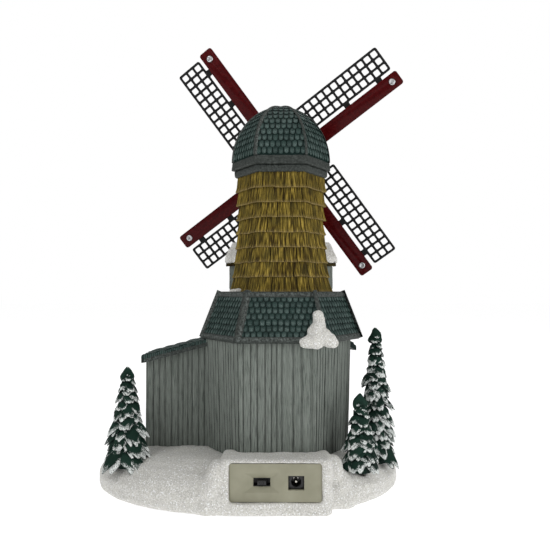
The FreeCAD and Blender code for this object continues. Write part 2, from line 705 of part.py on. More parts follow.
def frame_of(width, height, foot_z, proud=frame_proud, sill=True):
    """A casing round an opening with a cross bar and a mullion, its back at y=0."""
    outer = box(-width / 2 - frame_border, width / 2 + frame_border, 0, proud,
                foot_z - frame_border, foot_z + height + frame_border)
    frame = outer.cut(box(-width / 2, width / 2, -1, proud + 1, foot_z, foot_z + height))
    middle = foot_z + height / 2
    bars = [box(-bar_width / 2, bar_width / 2, 0, proud, foot_z, foot_z + height),
            box(-width / 2, width / 2, 0, proud, middle - bar_width / 2, middle + bar_width / 2)]
    if sill:
        bars.append(box(-width / 2 - sill_reach, width / 2 + sill_reach, 0, proud + sill_proud,
                        foot_z - frame_border - sill_height, foot_z - frame_border + 0.2))
    return joined(frame, *bars)


def glass_of(width, height, foot_z, back):
    return box(-width / 2, width / 2, -back, pane_thickness - back, foot_z, foot_z + height)


tower_window_width, tower_window_height = 9.0, 12.0
dormer_window_width, dormer_window_height, dormer_sill = 7.5, 11.5, 3.5
pane_recess = 1.0


def barn_casing(width, height, foot_z, side):
    """A casing that follows the barn's leaning wall."""
    deep = frame_of(width, height, foot_z, proud=5 * wall)
    start = barn_radius_top * cosine30 - 4 * wall
    return on_side(deep.translated(V(0, start, 0)), side, barn_x).common(barn_layer(frame_proud, 0.0))


def casings():
    made = [largest(barn_casing(window_width, window_height, barn_window_z, window_side))]
    shed = frame_of(window_width, window_height, shed_window_z).rotated(V(0, 0, 0), UP, 180)
    made.append(shed.translated(V(shed_window_x, shed_y0, 0)))
    face = (tower_radius(0.3) + course_flare) * cosine30
    tower = frame_of(tower_window_width, tower_window_height, tower_window_z).translated(V(0, face, 0))
    made.append(largest(on_side(tower, front).cut(tower_outer())))
    for side in dormer_sides:
        frame = frame_of(dormer_window_width, dormer_window_height, ledge_z + dormer_sill, sill=False)
        made.append(largest(on_side(frame.translated(V(0, dormer_face, 0)), side)))
    return made


def panes():
    hole = barn_opening(window_width, window_height, barn_window_z, window_side)
    made = [hole.common(barn_layer(-pane_recess, pane_recess + pane_thickness))]
    shed = glass_of(window_width, window_height, shed_window_z, pane_recess + pane_thickness)
    made.append(shed.rotated(V(0, 0, 0), UP, 180).translated(V(shed_window_x, shed_y0, 0)))
    tower = glass_of(tower_window_width, tower_window_height, tower_window_z, wall - pane_recess)
    made.append(on_side(tower.translated(V(0, tower_radius_waist * cosine30, 0)), front))
    for side in dormer_sides:
        pane = glass_of(dormer_window_width, dormer_window_height, ledge_z + dormer_sill, dormer_wall)
        made.append(on_side(pane.translated(V(0, dormer_face, 0)), side))
    return [largest(pane) for pane in made]


def window_frames():
    return Part.makeCompound(casings())


def window_panes():
    return Part.makeCompound(panes())


door_recess, door_casing, lintel_height = 0.8, 2.4, 2.0


def front_door():
    leaf = barn_opening(door_width, door_height, ground_z, front)
    leaf = leaf.common(barn_layer(-door_recess, door_recess + door_thickness))
    knob = Part.makeSphere(0.9, V(door_width / 2 - 2.4, barn_face(ground_z + 12) - door_recess, ground_z + 12))
    return joined(largest(leaf), on_side(knob, front, barn_x))


def door_frame():
    """Two posts and a wider lintel that follow the leaning wall."""
    outer = barn_opening(door_width + 2 * door_casing, door_height + door_casing, ground_z, front)
    lintel_z = ground_z + door_height + door_casing
    lintel = barn_opening(door_width + 4 * door_casing, lintel_height, lintel_z, front)
    hole = barn_opening(door_width, door_height, ground_z - 1, front)
    frame = outer.cut(hole).common(barn_layer(frame_proud, 0.0))
    return joined(frame, lintel.common(barn_layer(2 * frame_proud, 0.0))).cut(steps_block(0.0, ground_z - 4))


step_count, step_rise, step_run, steps_width = 3, 1.8, 4.2, 22.0


def steps_block(grow, z0):
    """The flight of steps from the barn's front outwards, over the ground from z0 up."""
    y = mill_y - barn_face(ground_z)
    blocks = [box(barn_x - steps_width / 2 - grow, barn_x + steps_width / 2 + grow,
                  y - (i + 1) * step_run - grow, y + 2, z0 - grow, ground_z + 1.5 - i * step_rise + grow)
              for i in range(step_count)]
    return joined(*blocks)


def front_steps():
    return steps_block(0.0, ground_z - 4).cut(barn_solid())


def window_awning():
    """A small sloped roof under the eave, over the barn's window."""
    top = eave_z - 0.4
    reach, fall = awning_reach, awning_fall
    outline = [V(0, -3, top + 2), V(0, reach, top - fall), V(0, reach, top - fall - awning_thickness),
               V(0, -3, top - awning_thickness - 1)]
    slab = Part.Face(Part.makePolygon(outline + outline[:1])).extrude(V(awning_width, 0, 0))
    slab.translate(V(-awning_width / 2, barn_face(eave_z), 0))
    slab = on_side(slab, window_side, barn_x).cut(barn_solid()).cut(skirt_envelope(0.05))
    return largest(slab)


# ---- snow and trees -----------------------------------------------------------------------------
patch_thickness, patch_hang = 3.0, 2.6


def patch_on_skirt(corner_deg, along, width, foot_before, foot_after):
    """A drift that lies along a hip and spreads at the eave, to both sides of it."""
    rings = [(eave_radius, eave_z - patch_hang), (eave_radius, eave_z), (ledge_radius, ledge_z)]
    body = hex_solid([(radius + trim_proud, z) for radius, z in rings])
    layer = hex_solid([(radius + trim_proud + patch_thickness, z) for radius, z in rings]).cut(body)
    low = eave_z - patch_hang
    spine = on_corner(box(0, 99, -width / 2, width / 2, low, eave_z + along), corner_deg)
    foot = on_corner(box(0, 99, -foot_before, foot_after, low, eave_z + eave_band + 1.5), corner_deg)
    return largest(layer.common(joined(spine, foot)).cut(shed_roof()).cut(shed_walls()))


def roof_snow():
    """Drifts on the skirt roof, one behind and two at the front, and caps on the dormers."""
    drifts = [patch_on_skirt(120.0, 20.0, 8.5, 15.0, 7.5), patch_on_skirt(240.0, 23.0, 9.0, 13.0, 13.0),
              patch_on_skirt(300.0, 18.0, 8.0, 12.0, 12.0)]
    return Part.makeCompound(drifts + dormer_layer(dormer_thatch, dormer_snow, 1.8))


def tree(x, y, tips_z, radius, height):
    """Stacked skirts that shrink to a point, over a trunk whose peg stands in the ground."""
    skirts = []
    step = height / tree_tiers
    for i in range(tree_tiers):
        low = radius * (1 - i / (tree_tiers + 0.6))
        high = low * 0.45 if i < tree_tiers - 1 else 0.4
        tall = step * 1.35 if i < tree_tiers - 1 else step
        skirts.append(Part.makeCone(low, high, tall, V(x, y, tips_z + i * step)))
    foliage = largest(joined(*skirts).cut(ground_body(-seat_clearance, rim_z, 0.0)))
    return joined(foliage, cylinder(trunk_radius, (x, y, peg_floor(tips_z)), (x, y, ground_z + 4)))


# ---- drive --------------------------------------------------------------------------------------
def involute_gear(teeth, face, bore, phase_deg):
    """A spur gear about +Z from z=0: involute flanks, short teeth, backlash taken off the tooth."""
    pitch = gear_module * teeth / 2
    base = pitch * math.cos(pressure_angle)
    tip = pitch + gear_addendum * gear_module
    root = pitch - gear_dedendum * gear_module

    def half_angle(radius):
        """Half of the tooth's angle at a radius, or at the base circle below it."""
        turn = math.acos(min(1.0, base / max(radius, base)))
        rolled = math.tan(turn) - turn
        at_pitch = math.tan(pressure_angle) - pressure_angle
        thick = (math.pi / (2 * teeth)) - gear_backlash / (2 * pitch)
        return thick + at_pitch - rolled

    def polar(radius, angle):
        return V(radius * math.cos(angle), radius * math.sin(angle), 0)

    start = max(base, root)
    radii = [start + (tip - start) * i / 3 for i in range(4)]
    edges = []
    pitch_angle = 2 * math.pi / teeth
    for k in range(teeth):
        middle = math.radians(phase_deg) + k * pitch_angle
        rising = [polar(r, middle - half_angle(r)) for r in radii]
        falling = [polar(r, middle + half_angle(r)) for r in reversed(radii)]
        foot_in, foot_out = polar(root, middle - half_angle(start)), polar(root, middle + half_angle(start))
        if root < start:
            edges.append(Part.LineSegment(foot_in, rising[0]).toShape())
        up = Part.BSplineCurve()
        up.interpolate(rising)
        down = Part.BSplineCurve()
        down.interpolate(falling)
        edges.append(up.toShape())
        edges.append(Part.Arc(rising[-1], polar(tip, middle), falling[0]).toShape())
        edges.append(down.toShape())
        if root < start:
            edges.append(Part.LineSegment(falling[-1], foot_out).toShape())
        after = middle + pitch_angle - half_angle(start)
        between = (middle + half_angle(start) + after) / 2
        edges.append(Part.Arc(foot_out, polar(root, between), polar(root, after)).toShape())
    blank = Part.Face(Part.Wire(edges)).extrude(V(0, 0, face))
    return blank.cut(Part.makeCylinder(bore, face + 2, V(0, 0, -1)))


def shaft_gear(teeth, y0, z, bore, phase_deg=0.0):
    """A gear on an axis parallel to the windshaft, its front face at y0."""
    gear = involute_gear(teeth, gear_face, bore, phase_deg)
    gear.rotate(V(0, 0, 0), V(1, 0, 0), -90)
    gear.translate(V(0, y0, z))
    return gear


centre_distance = gear_module * (small_teeth + large_teeth) / 2
wheel_tip = gear_module * (large_teeth / 2 + gear_addendum)
ear_offset = wheel_tip + gear_room + gearbox_wall + ear_reach
block_flange_half_width = ear_offset + ear_radius
gap_phase = 180.0 / small_teeth            # turns a small gear so that a gap faces its wheel
gearbox_y = block_front + block_length
layer_y = [gearbox_y + gearbox_wall + gear_gap + i * (gear_face + gear_gap) for i in range(3)]
cavity_end = layer_y[2] + gear_face + gear_gap
cover_end = cavity_end + gearbox_cover
lower_z = -centre_distance


def capsule(radius, y0, y1):
    """A round-ended block about both gear axes."""
    return joined(rod(radius, y0, y1), rod(radius, y0, y1, 0, lower_z),
                  box(-radius, radius, y0, y1, lower_z, 0))


def bearing_block():
    block = block_envelope(0.0)
    hole = rod(shaft_radius + 0.5, block_front - 1, gearbox_y + 1)
    seat = rod(bush_radius, block_front - 1, block_front + bush_length - bush_flange)
    block = block.cut(hole).cut(seat)
    for side in (-1, 1):
        block = block.cut(rod(screw_radius, gearbox_y - 4.5, gearbox_y + 1, side * ear_offset))
    return to_mill(block)


def shaft_bush():
    flange_front = block_front - bush_flange
    bush = rod(bush_radius, block_front, block_front + bush_length - bush_flange).fuse(
        rod(bush_flange_radius, flange_front, block_front))
    return to_mill(bush.cut(rod(shaft_radius + shaft_clearance, flange_front - 1, gearbox_y)).removeSplitter())


def gearbox_housing():
    body = capsule(wheel_tip + gear_room + gearbox_wall, gearbox_y, cavity_end)
    ears = joined(box(-ear_offset, ear_offset, gearbox_y, gearbox_y + ear_thickness, -ear_radius, ear_radius),
                  rod(ear_radius, gearbox_y, gearbox_y + ear_thickness, -ear_offset),
                  rod(ear_radius, gearbox_y, gearbox_y + ear_thickness, ear_offset))
    body = joined(body, ears)
    body = body.cut(capsule(wheel_tip + gear_room, gearbox_y + gearbox_wall, cavity_end + 1))
    body = body.cut(rod(shaft_radius + shaft_clearance, gearbox_y - 1, gearbox_y + 3))
    body = body.cut(rod(arbor_radius, gearbox_y - 1, gearbox_y + 3, 0, lower_z))
    for side in (-1, 1):
        body = body.cut(rod(screw_radius + 0.1, gearbox_y - 1, gearbox_y + 3, side * ear_offset))
    return to_mill(body)


motor_screw_offset = 6.0


def gearbox_cover_plate():
    plate = capsule(wheel_tip + gear_room + gearbox_wall, cavity_end, cover_end)
    plate = plate.cut(rod(shaft_radius + shaft_clearance, cavity_end - 1, cover_end + 1))
    plate = plate.cut(rod(3.0, cavity_end - 1, cover_end + 1, 0, lower_z))
    for side in (-1, 1):
        plate = plate.cut(rod(screw_radius, cavity_end - 1, cover_end + 1, side * motor_screw_offset, lower_z))
    return to_mill(plate)


def gear_arbor():
    return to_mill(rod(arbor_radius, gearbox_y, layer_y[2] - gear_gap, 0, lower_z))


def motor_can():
    end = cover_end + motor_length
    can = rod(motor_radius, cover_end, end, 0, lower_z)
    can = can.makeFillet(1.2, [e for e in can.Edges if e.BoundBox.YMin > end - 0.01])
    can = joined(can, rod(3.0, cover_end - 1.6, cover_end, 0, lower_z), rod(3.0, end, end + 1.6, 0, lower_z))
    can = can.cut(rod(1.0 + gear_running, cover_end - 3, cover_end + 10, 0, lower_z))
    for side in (-1, 1):
        can = can.cut(rod(screw_radius, cover_end - 1, cover_end + 2.5, side * motor_screw_offset, lower_z))
        can = can.fuse(box(side * 4.5 - 0.9, side * 4.5 + 0.9, end, end + 3.2, lower_z - 0.3, lower_z + 0.3))
    return to_mill(can.removeSplitter())


def gearbox_screws():
    """Two hold the gearbox to the block, and two hold the motor to the cover."""
    made = []
    for side in (-1, 1):
        head_y = gearbox_y + ear_thickness
        made.append(rod(screw_radius, gearbox_y - 4.4, head_y, side * ear_offset).fuse(
            rod(screw_head_radius, head_y, head_y + screw_head, side * ear_offset)))
        made.append(rod(screw_radius, cavity_end, cover_end + 2.4, side * motor_screw_offset, lower_z))
    return to_mill(Part.makeCompound([m.removeSplitter() for m in made]))


shaft_front, shaft_screw_radius, shaft_screw_depth = -spar_thickness, 0.9, 6.0


def windshaft():
    shaft = rod(shaft_radius, shaft_front, cover_end - 0.4)
    return to_mill(shaft.cut(rod(shaft_screw_radius, shaft_front - 1, shaft_front + shaft_screw_depth)))


def output_gear():
    return to_mill(shaft_gear(large_teeth, layer_y[0], 0.0, shaft_radius))


def compound(large_layer, z, bore):
    """A large wheel with a small gear in the layer in front of it, on one sleeve."""
    wheel = shaft_gear(large_teeth, layer_y[large_layer], z, bore)
    pinion = shaft_gear(small_teeth, layer_y[large_layer] - gear_face - gear_gap, z, bore, gap_phase)
    collar_radius = gear_module * (small_teeth / 2 - gear_dedendum)
    collar = rod(collar_radius, layer_y[large_layer] - gear_gap, layer_y[large_layer], 0, z)
    collar = collar.cut(rod(bore, 0, 99, 0, z))
    return to_mill(joined(wheel, pinion, collar))


def compound_gear_lower():
    return compound(1, lower_z, arbor_radius + gear_running)


def compound_gear_upper():
    return compound(2, 0.0, shaft_radius + gear_running)


def motor_pinion():
    pinion = shaft_gear(small_teeth, layer_y[2], lower_z, 0.5, gap_phase)
    shaft = rod(1.0, layer_y[2], cover_end + 8.0, 0, lower_z)
    return to_mill(joined(pinion, shaft))


# ---- sails --------------------------------------------------------------------------------------
def arm(shape, index):
    """Turns a shape built along +x of the windshaft's frame to one of the four arms, then places it."""
    turned = shape.copy()
    # seen from the back, +x of this frame is to the left
    turned.rotate(V(0, 0, 0), BACK, -(180 - sail_rest_deg) + 90 * index)
    return to_mill(turned)


def rounded_bar(x0, x1, z0, z1, y0, y1, corner):
    bar = box(x0, x1, y0, y1, z0, z1)
    ends = [e for e in bar.Edges
            if abs(e.tangentAt(e.FirstParameter).y) > 0.99 and e.CenterOfMass.x > (x0 + x1) / 2]
    return bar.makeFillet(corner, ends)


def spar_stock():
    bar = rounded_bar(spar_root, spar_length, -spar_width / 2, spar_width / 2, -spar_thickness, 0.0, 1.8)
    hole = rod(rivet_radius * 0.5, -spar_thickness - 1, 1, spar_length - rivet_inset)
    return bar.cut(hole)


def rivet_stock():
    """A hollow rivet through the spar's end, rolled over at the back."""
    x = spar_length - rivet_inset
    rolled = Part.makeTorus(rivet_radius * 0.72, rivet_radius * 0.28, V(x, 0.12, 0), BACK)
    tube = rod(rivet_radius * 0.5, -spar_thickness, 0.12, x)
    head = rod(rivet_radius, -spar_thickness - 0.6, -spar_thickness, x)
    solid = joined(tube, head, rolled.common(box(x - 9, x + 9, 0, 2, -9, 9)))
    return solid.cut(rod(rivet_radius * 0.26, -spar_thickness + 0.4, 9, x))


def lattice_stock():
    """One grid: outer frame, bars and the tabs that lie on the spar's front."""
    width = lattice_cells_wide * lattice_pitch
    length = lattice_cells_long * lattice_pitch
    x1, x0 = lattice_tip, lattice_tip - length
    z1 = -spar_width / 2 - lattice_gap
    z0 = z1 - width
    y0, y1 = -spar_thickness - lattice_thickness, -spar_thickness
    half = lattice_bar / 2
    sheet = box(x0 - half, x1 + half, y0, y1, z0 - half, z1 + half)
    corners = [e for e in sheet.Edges if abs(e.tangentAt(e.FirstParameter).y) > 0.99]
    sheet = sheet.makeFillet(1.6, corners)
    cells = []
    for i in range(lattice_cells_long):
        for j in range(lattice_cells_wide):
            cells.append(box(x0 + i * lattice_pitch + half, x0 + (i + 1) * lattice_pitch - half, y0 - 1, y1 + 1,
                             z0 + j * lattice_pitch + half, z0 + (j + 1) * lattice_pitch - half))
    sheet = sheet.cut(Part.makeCompound(cells))
    tabs = [box(x - tab_width / 2, x + tab_width / 2, y0, y1, z1, tab_overlap - spar_width / 2)
            for x in tab_places]
    return joined(sheet, *tabs)


def sail_hub():
    plate = rod(hub_radius, 0.0, hub_plate)
    boss = rod(hub_boss_radius, hub_plate, hub_plate + hub_boss_length)
    core = rod(spar_root - 0.4, -spar_thickness, 0.0)
    body = joined(plate, boss, core)
    return to_mill(body.cut(rod(shaft_radius, -spar_thickness - 1, hub_plate + hub_boss_length + 1)))


def hub_cap():
    y1 = -spar_thickness
    disc = rod(hub_radius, y1 - hub_cap_thickness, y1)
    disc = disc.makeFillet(hub_cap_thickness * 0.6, [e for e in disc.Edges if e.BoundBox.YMax < y1 - 0.5 and
                                                    e.Length > 10])
    return to_mill(disc.cut(rod(shaft_screw_radius + 0.1, y1 - hub_cap_thickness - 1, y1 + 1)))


def hub_screw():
    y1 = -spar_thickness - hub_cap_thickness
    head = rod(2.6, y1 - 1.4, y1)
    head = head.makeFillet(0.6, [e for e in head.Edges if e.BoundBox.YMax < y1 - 1.3 and e.Length > 5])
    slot = box(-0.35, 0.35, y1 - 2, y1 - 0.8, -1.8, 1.8)
    cross = box(-1.8, 1.8, y1 - 2, y1 - 0.8, -0.35, 0.35)
    shank = rod(shaft_screw_radius, y1, shaft_front + shaft_screw_depth - 1)
    return to_mill(joined(head, shank).cut(slot).cut(cross))


# ---- lamps --------------------------------------------------------------------------------------
lamp_x, lamp_y = barn_x - 6.0, mill_y - 12.0
upper_lamp_x = mill_x + 9.0
bridge_half, bridge_thickness = 4.0, 2.0
upper_bridge_half, upper_lamp_lift = 3.0, 6.0


def lamp_holders():
    """A bridge across the ground's well for the barn's lamp, and one across the roof's mouth for the upper."""
    low_reach = (barn_radius_foot - wall) * cosine30 - 1.0
    low_top = barn_foot_z + bridge_thickness
    low = box(lamp_x - bridge_half, lamp_x + bridge_half, mill_y - low_reach, mill_y + low_reach,
              barn_foot_z, low_top)
    post = cylinder(lamp_radius + 0.8, (lamp_x, lamp_y, low_top), (lamp_x, lamp_y, low_top + lamp_stem))
    base_z = ledge_z + collar_height
    high_top = base_z + bridge_thickness
    high = box(upper_lamp_x - upper_bridge_half, upper_lamp_x + upper_bridge_half,
               mill_y - tower_radius_foot, mill_y + tower_radius_foot, base_z, high_top).common(tower_inner())
    stem = cylinder(lamp_radius + 0.4, (upper_lamp_x, mill_y, high_top),
                    (upper_lamp_x, mill_y, base_z + upper_lamp_lift))
    return Part.makeCompound([joined(low, post), joined(high, stem)])


def bulb(x, y, z):
    body = cylinder(lamp_radius, (x, y, z), (x, y, z + lamp_height - lamp_radius))
    return body.fuse(Part.makeSphere(lamp_radius, V(x, y, z + lamp_height - lamp_radius))).removeSplitter()


def lamps():
    return Part.makeCompound([
        bulb(lamp_x, lamp_y, barn_foot_z + bridge_thickness + lamp_stem),
        bulb(upper_lamp_x, mill_y, ledge_z + collar_height + upper_lamp_lift)])


# ---- the parts ----------------------------------------------------------------------------------
def all_parts():
    makers = (
        base_casting, base_cover, cover_screws, rubber_feet, rear_panel, control_board, board_screws,
        slide_switch_body, switch_knob, dc_jack_housing, dc_jack_pin, barn_walls, shed_walls, shed_roof,
        skirt_roof, skirt_roof_trim, tower_walls, curb_ring, cap_ring, cap_dome, cap_ribs, dormer_walls,
        dormer_roofs, window_frames, window_panes, front_door, door_frame, front_steps, window_awning,
        roof_snow, bearing_block, shaft_bush, gearbox_housing, gear_arbor, motor_can, gearbox_screws,
        windshaft, output_gear, compound_gear_lower, compound_gear_upper, motor_pinion, sail_hub, hub_cap,
        hub_screw, lamp_holders, lamps)
    for maker in makers:
        yield maker.__name__, maker()
    yield "gearbox_cover", gearbox_cover_plate()
    for name, values in trees.items():
        yield name, tree(*values)
    spar, lattice = spar_stock(), lattice_stock()
    for i in range(4):
        yield f"sail_spar_{i + 1}", arm(spar, i)
        yield f"sail_lattice_{i + 1}", arm(lattice, i)
    rivet = rivet_stock()
    yield "sail_rivets", Part.makeCompound([arm(rivet, i) for i in range(4)])


def whole_box(shapes):
    """The tight box round every shape."""
    whole = FreeCAD.BoundBox()
    for shape in shapes:
        whole.add(shape.optimalBoundingBox())
    return whole


def main():
    """Writes every part, with the middle of the whole's box over the origin."""
    os.makedirs("parts", exist_ok=True)
    made = dict(all_parts())
    middle = whole_box(made.values()).Center
    print("moved by", round(-middle.x, 3), round(-middle.y, 3))
    for name, shape in made.items():
        bad = [s for s in shape.Solids if not s.isValid() or s.Volume <= 0]
        print(name, len(shape.Solids), "solids", round(shape.Volume, 1), "mm3", "INVALID" if bad else "")
        shape.translated(V(-middle.x, -middle.y, 0)).exportStep(os.path.join("parts", name + ".step"))


main()
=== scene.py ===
"""The visual model of the winter windmill: painted scales, planks, thatch, snow and boughs."""

import json
import math
import random

import bmesh
import bpy
import numpy as np
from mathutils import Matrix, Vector, noise


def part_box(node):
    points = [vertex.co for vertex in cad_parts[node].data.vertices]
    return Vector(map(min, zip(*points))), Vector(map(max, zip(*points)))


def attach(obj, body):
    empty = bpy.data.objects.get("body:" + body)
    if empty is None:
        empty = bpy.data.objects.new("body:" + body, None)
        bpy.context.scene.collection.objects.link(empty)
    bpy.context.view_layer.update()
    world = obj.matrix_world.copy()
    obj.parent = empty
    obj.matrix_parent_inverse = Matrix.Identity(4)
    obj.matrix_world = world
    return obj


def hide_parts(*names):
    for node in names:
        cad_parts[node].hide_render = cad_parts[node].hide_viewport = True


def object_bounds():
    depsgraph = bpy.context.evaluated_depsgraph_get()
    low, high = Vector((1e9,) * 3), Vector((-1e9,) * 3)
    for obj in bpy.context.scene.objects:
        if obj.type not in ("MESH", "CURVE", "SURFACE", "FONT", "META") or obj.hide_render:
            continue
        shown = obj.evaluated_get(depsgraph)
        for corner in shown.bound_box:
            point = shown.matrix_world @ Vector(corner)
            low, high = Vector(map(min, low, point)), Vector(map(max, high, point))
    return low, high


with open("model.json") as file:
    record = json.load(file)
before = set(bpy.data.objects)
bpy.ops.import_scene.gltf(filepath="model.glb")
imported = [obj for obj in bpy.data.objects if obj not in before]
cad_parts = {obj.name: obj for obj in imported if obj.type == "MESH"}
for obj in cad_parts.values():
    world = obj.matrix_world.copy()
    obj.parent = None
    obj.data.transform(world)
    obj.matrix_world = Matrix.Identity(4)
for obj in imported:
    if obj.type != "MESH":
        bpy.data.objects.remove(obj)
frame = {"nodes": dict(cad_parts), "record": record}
cad_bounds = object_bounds()

MM = 0.001
COS30 = math.cos(math.radians(30))
UP = Vector((0, 0, 1))
SAME_LEVEL = 0.05 * MM      # points closer than this count as level with each other


# ---- places taken from the CAD ------------------------------------------------------------------
def middle(node):
    """The middle of a CAD node's box."""
    low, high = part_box(node)
    return (low + high) / 2


def corner_radius(node, z, axis):
    """The distance from the axis to the corners of a six-sided node, at one of its levels."""
    points = frame["nodes"][node].data.vertices
    return max(abs(p.co.x - axis.x) for p in points if abs(p.co.z - z) < SAME_LEVEL)


def islands(node):
    """The boxes of a node's separate solids."""
    mesh = welded(node)
    mesh.verts.ensure_lookup_table()
    seen, boxes = set(), []
    for start in mesh.verts:
        if start.index in seen:
            continue
        reached, todo = [], [start]
        seen.add(start.index)
        while todo:
            vert = todo.pop()
            reached.append(vert.co.copy())
            for edge in vert.link_edges:
                other = edge.other_vert(vert)
                if other.index not in seen:
                    seen.add(other.index)
                    todo.append(other)
        boxes.append((Vector(min(p[i] for p in reached) for i in range(3)),
                      Vector(max(p[i] for p in reached) for i in range(3))))
    mesh.free()
    return boxes


def welded(node):
    """A bmesh copy of a CAD node with its split points joined again."""
    mesh = bmesh.new()
    mesh.from_mesh(frame["nodes"][node].data)
    bmesh.ops.remove_doubles(mesh, verts=mesh.verts, dist=0.002 * MM)
    return mesh


tower_axis = middle("tower_walls")
barn_axis = middle("barn_walls")
eave_z, ledge_z = (corner.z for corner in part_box("skirt_roof_trim"))
ground_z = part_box("front_door")[0].z
tower_foot_z, tower_top_z = (corner.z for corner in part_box("tower_walls"))
panel_low, panel_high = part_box("rear_panel")
board_foot_z = ground_z - 3 * MM            # the planks' lower ends are under the snow
low_window_z = eave_z - 20 * MM             # casings that start below this are the barn's and the shed's


# ---- a mesh in the making -----------------------------------------------------------------------
class Surface:
    """Points with two paint values each, and the faces between them. The tone is the paint's own shade there,
    and worn is how far it is rubbed or brushed with a pale colour, both from 0 to 1."""

    def __init__(self):
        self.points, self.tones, self.worn, self.faces = [], [], [], []

    def grid(self, rows, closed=False):
        """Adds quads between rows of (point, tone, worn), each row running to the right."""
        start, wide = len(self.points), len(rows[0])
        for row in rows:
            for point, tone, worn in row:
                self.points.append(point)
                self.tones.append(tone)
                self.worn.append(worn)
        for j in range(len(rows) - 1):
            for i in range(wide if closed else wide - 1):
                a, b = start + j * wide + i, start + j * wide + (i + 1) % wide
                self.faces.append((a, b, b + wide, a + wide))

    def make(self, name, paint, replaced=(), crease=40):
        mesh = bpy.data.meshes.new(name)
        mesh.from_pydata(self.points, [], self.faces)
        store(mesh, "tone", self.tones)
        store(mesh, "worn", self.worn)
        return settle(bpy.data.objects.new(name, mesh), paint, replaced, crease)


def store(mesh, label, values):
    """Gives each point of a mesh a value that its paint can read."""
    mesh.attributes.new(label, "FLOAT", "POINT").data.foreach_set("value", values)


def settle(piece, paint, replaced=(), crease=40, body="building"):
    """Puts a finished piece into the scene: shading, material, body and the CAD nodes it stands for."""
    if piece.name not in bpy.context.scene.collection.objects:
        bpy.context.scene.collection.objects.link(piece)
    piece.data.validate()
    piece.data.shade_smooth()
    piece.data.set_sharp_from_angle(angle=math.radians(crease))
    piece.data.materials.clear()
    piece.data.materials.append(materials[paint])
    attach(piece, body)
    if replaced:
        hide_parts(*replaced)
    return piece


def ripple(point, size, seed=0.0):
    """Smooth noise from -1 to 1 whose bumps are about size metres across."""
    return noise.noise(Vector((point[0] / size + seed, point[1] / size, point[2] / size)))


def waves(point, *parts):
    """The sum of some ripples, each given as (height in mm, bump size in mm, seed)."""
    return sum(height * ripple(point, size * MM, seed) for height, size, seed in parts) * MM


def circle(centre, radius, z, count):
    """Points round a level circle."""
    turns = [math.tau * i / count for i in range(count)]
    return [Vector((centre.x + radius * math.cos(a), centre.y + radius * math.sin(a), z)) for a in turns]


# ---- sides that shingles and boards are laid on -------------------------------------------------
class Side:
    """One side of a six-sided form. u runs level to the right seen from outside, s up the slope."""

    def __init__(self, axis, degrees, profile):
        turn = math.radians(degrees)
        self.axis = Vector((axis.x, axis.y, 0))
        self.across = Vector((-math.cos(turn), -math.sin(turn), 0))
        self.out = Vector((-math.sin(turn), math.cos(turn), 0))
        self.radii = [radius for radius, _ in profile]
        self.levels = [z for _, z in profile]
        steps = [math.hypot((b[0] - a[0]) * COS30, b[1] - a[1]) for a, b in zip(profile, profile[1:])]
        self.reach = [sum(steps[:i]) for i in range(len(profile))]
        self.length = self.reach[-1]

    def half(self, s):
        return float(np.interp(s, self.reach, self.radii)) / 2

    def at(self, u, s, lift):
        i = min(max(int(np.searchsorted(self.reach, s)) - 1, 0), len(self.reach) - 2)
        share = (s - self.reach[i]) / (self.reach[i + 1] - self.reach[i])
        run = (self.radii[i + 1] - self.radii[i]) * COS30
        rise = self.levels[i + 1] - self.levels[i]
        steep = math.hypot(run, rise)
        apothem = self.radii[i] * COS30 + run * share
        return (self.axis + self.across * u + self.out * (apothem + lift * rise / steep)
                + UP * (self.levels[i] + rise * share - lift * run / steep))


class Slope:
    """A flat side given by the middle of its foot, the way up it and its half width."""

    def __init__(self, foot, along, across, half, length):
        self.foot, self.along, self.across = foot, along.normalized(), across.normalized()
        self.out = self.across.cross(self.along)
        self.half_width, self.length = half, length

    def half(self, s):
        return self.half_width

    def at(self, u, s, lift):
        return self.foot + self.across * u + self.along * s + self.out * lift


def hex_sides(axis, profile):
    """The six sides of a form, the first at the back; profile is (corner radius, level) from the foot up."""
    return [Side(axis, 60 * i, profile) for i in range(6)]


def skirt_sides():
    """The six slopes of the skirt roof, from its eave to the ledge round the tower."""
    return hex_sides(tower_axis, [(corner_radius("skirt_roof", z, tower_axis), z) for z in (eave_z, ledge_z)])


# ---- shingles -----------------------------------------------------------------------------------
# A scale's rows, from its lower end up: share of the pitch, height and how worn.
SCALE_ROWS = ((0.04, -0.3, 0.0), (0.04, 0.8, 0.15), (0.2, 1.1, 0.9), (0.48, 0.95, 1.0), (0.8, 0.62, 0.45),
              (1.5, -0.1, 0.0))
# A scale's points from left to right: share of its half width, and the most height there.
SCALE_EDGE = ((-1, -0.4), (-1, 0.6), (-0.7, 0.95), (-0.35, 1), (0, 1.04), (0.35, 1), (0.7, 0.95), (1, 0.6),
              (1, -0.4))


def lay_scale(surface, side, u, s, width, pitch, lift, tone, round_end, rng):
    """One scale: a plate with a rounded lower end, thickest there, that slips under the row above."""
    tilt = rng.uniform(-0.08, 0.08) * lift
    shine = rng.uniform(0.45, 1.1)
    droop = rng.uniform(-0.06, 0.06) * pitch
    rows = []
    for share, high, worn in SCALE_ROWS:
        row = []
        for a, edge in SCALE_EDGE:
            bottom = round_end * (1 - math.sqrt(max(0.0, 1 - (0.92 * a) ** 2)))
            place = s + droop + pitch * (bottom * (1 - share / 1.5) + share)
            place = min(max(place, 0.0), side.length)
            limit = side.half(place)
            across = min(max(u + a * width * 0.43, -limit), limit)
            height = min(high, edge) * lift + tilt * a
            row.append((side.at(across, place, height), tone, worn * (1 - abs(a) ** 4) * shine))
        rows.append(row)
    surface.grid(rows)


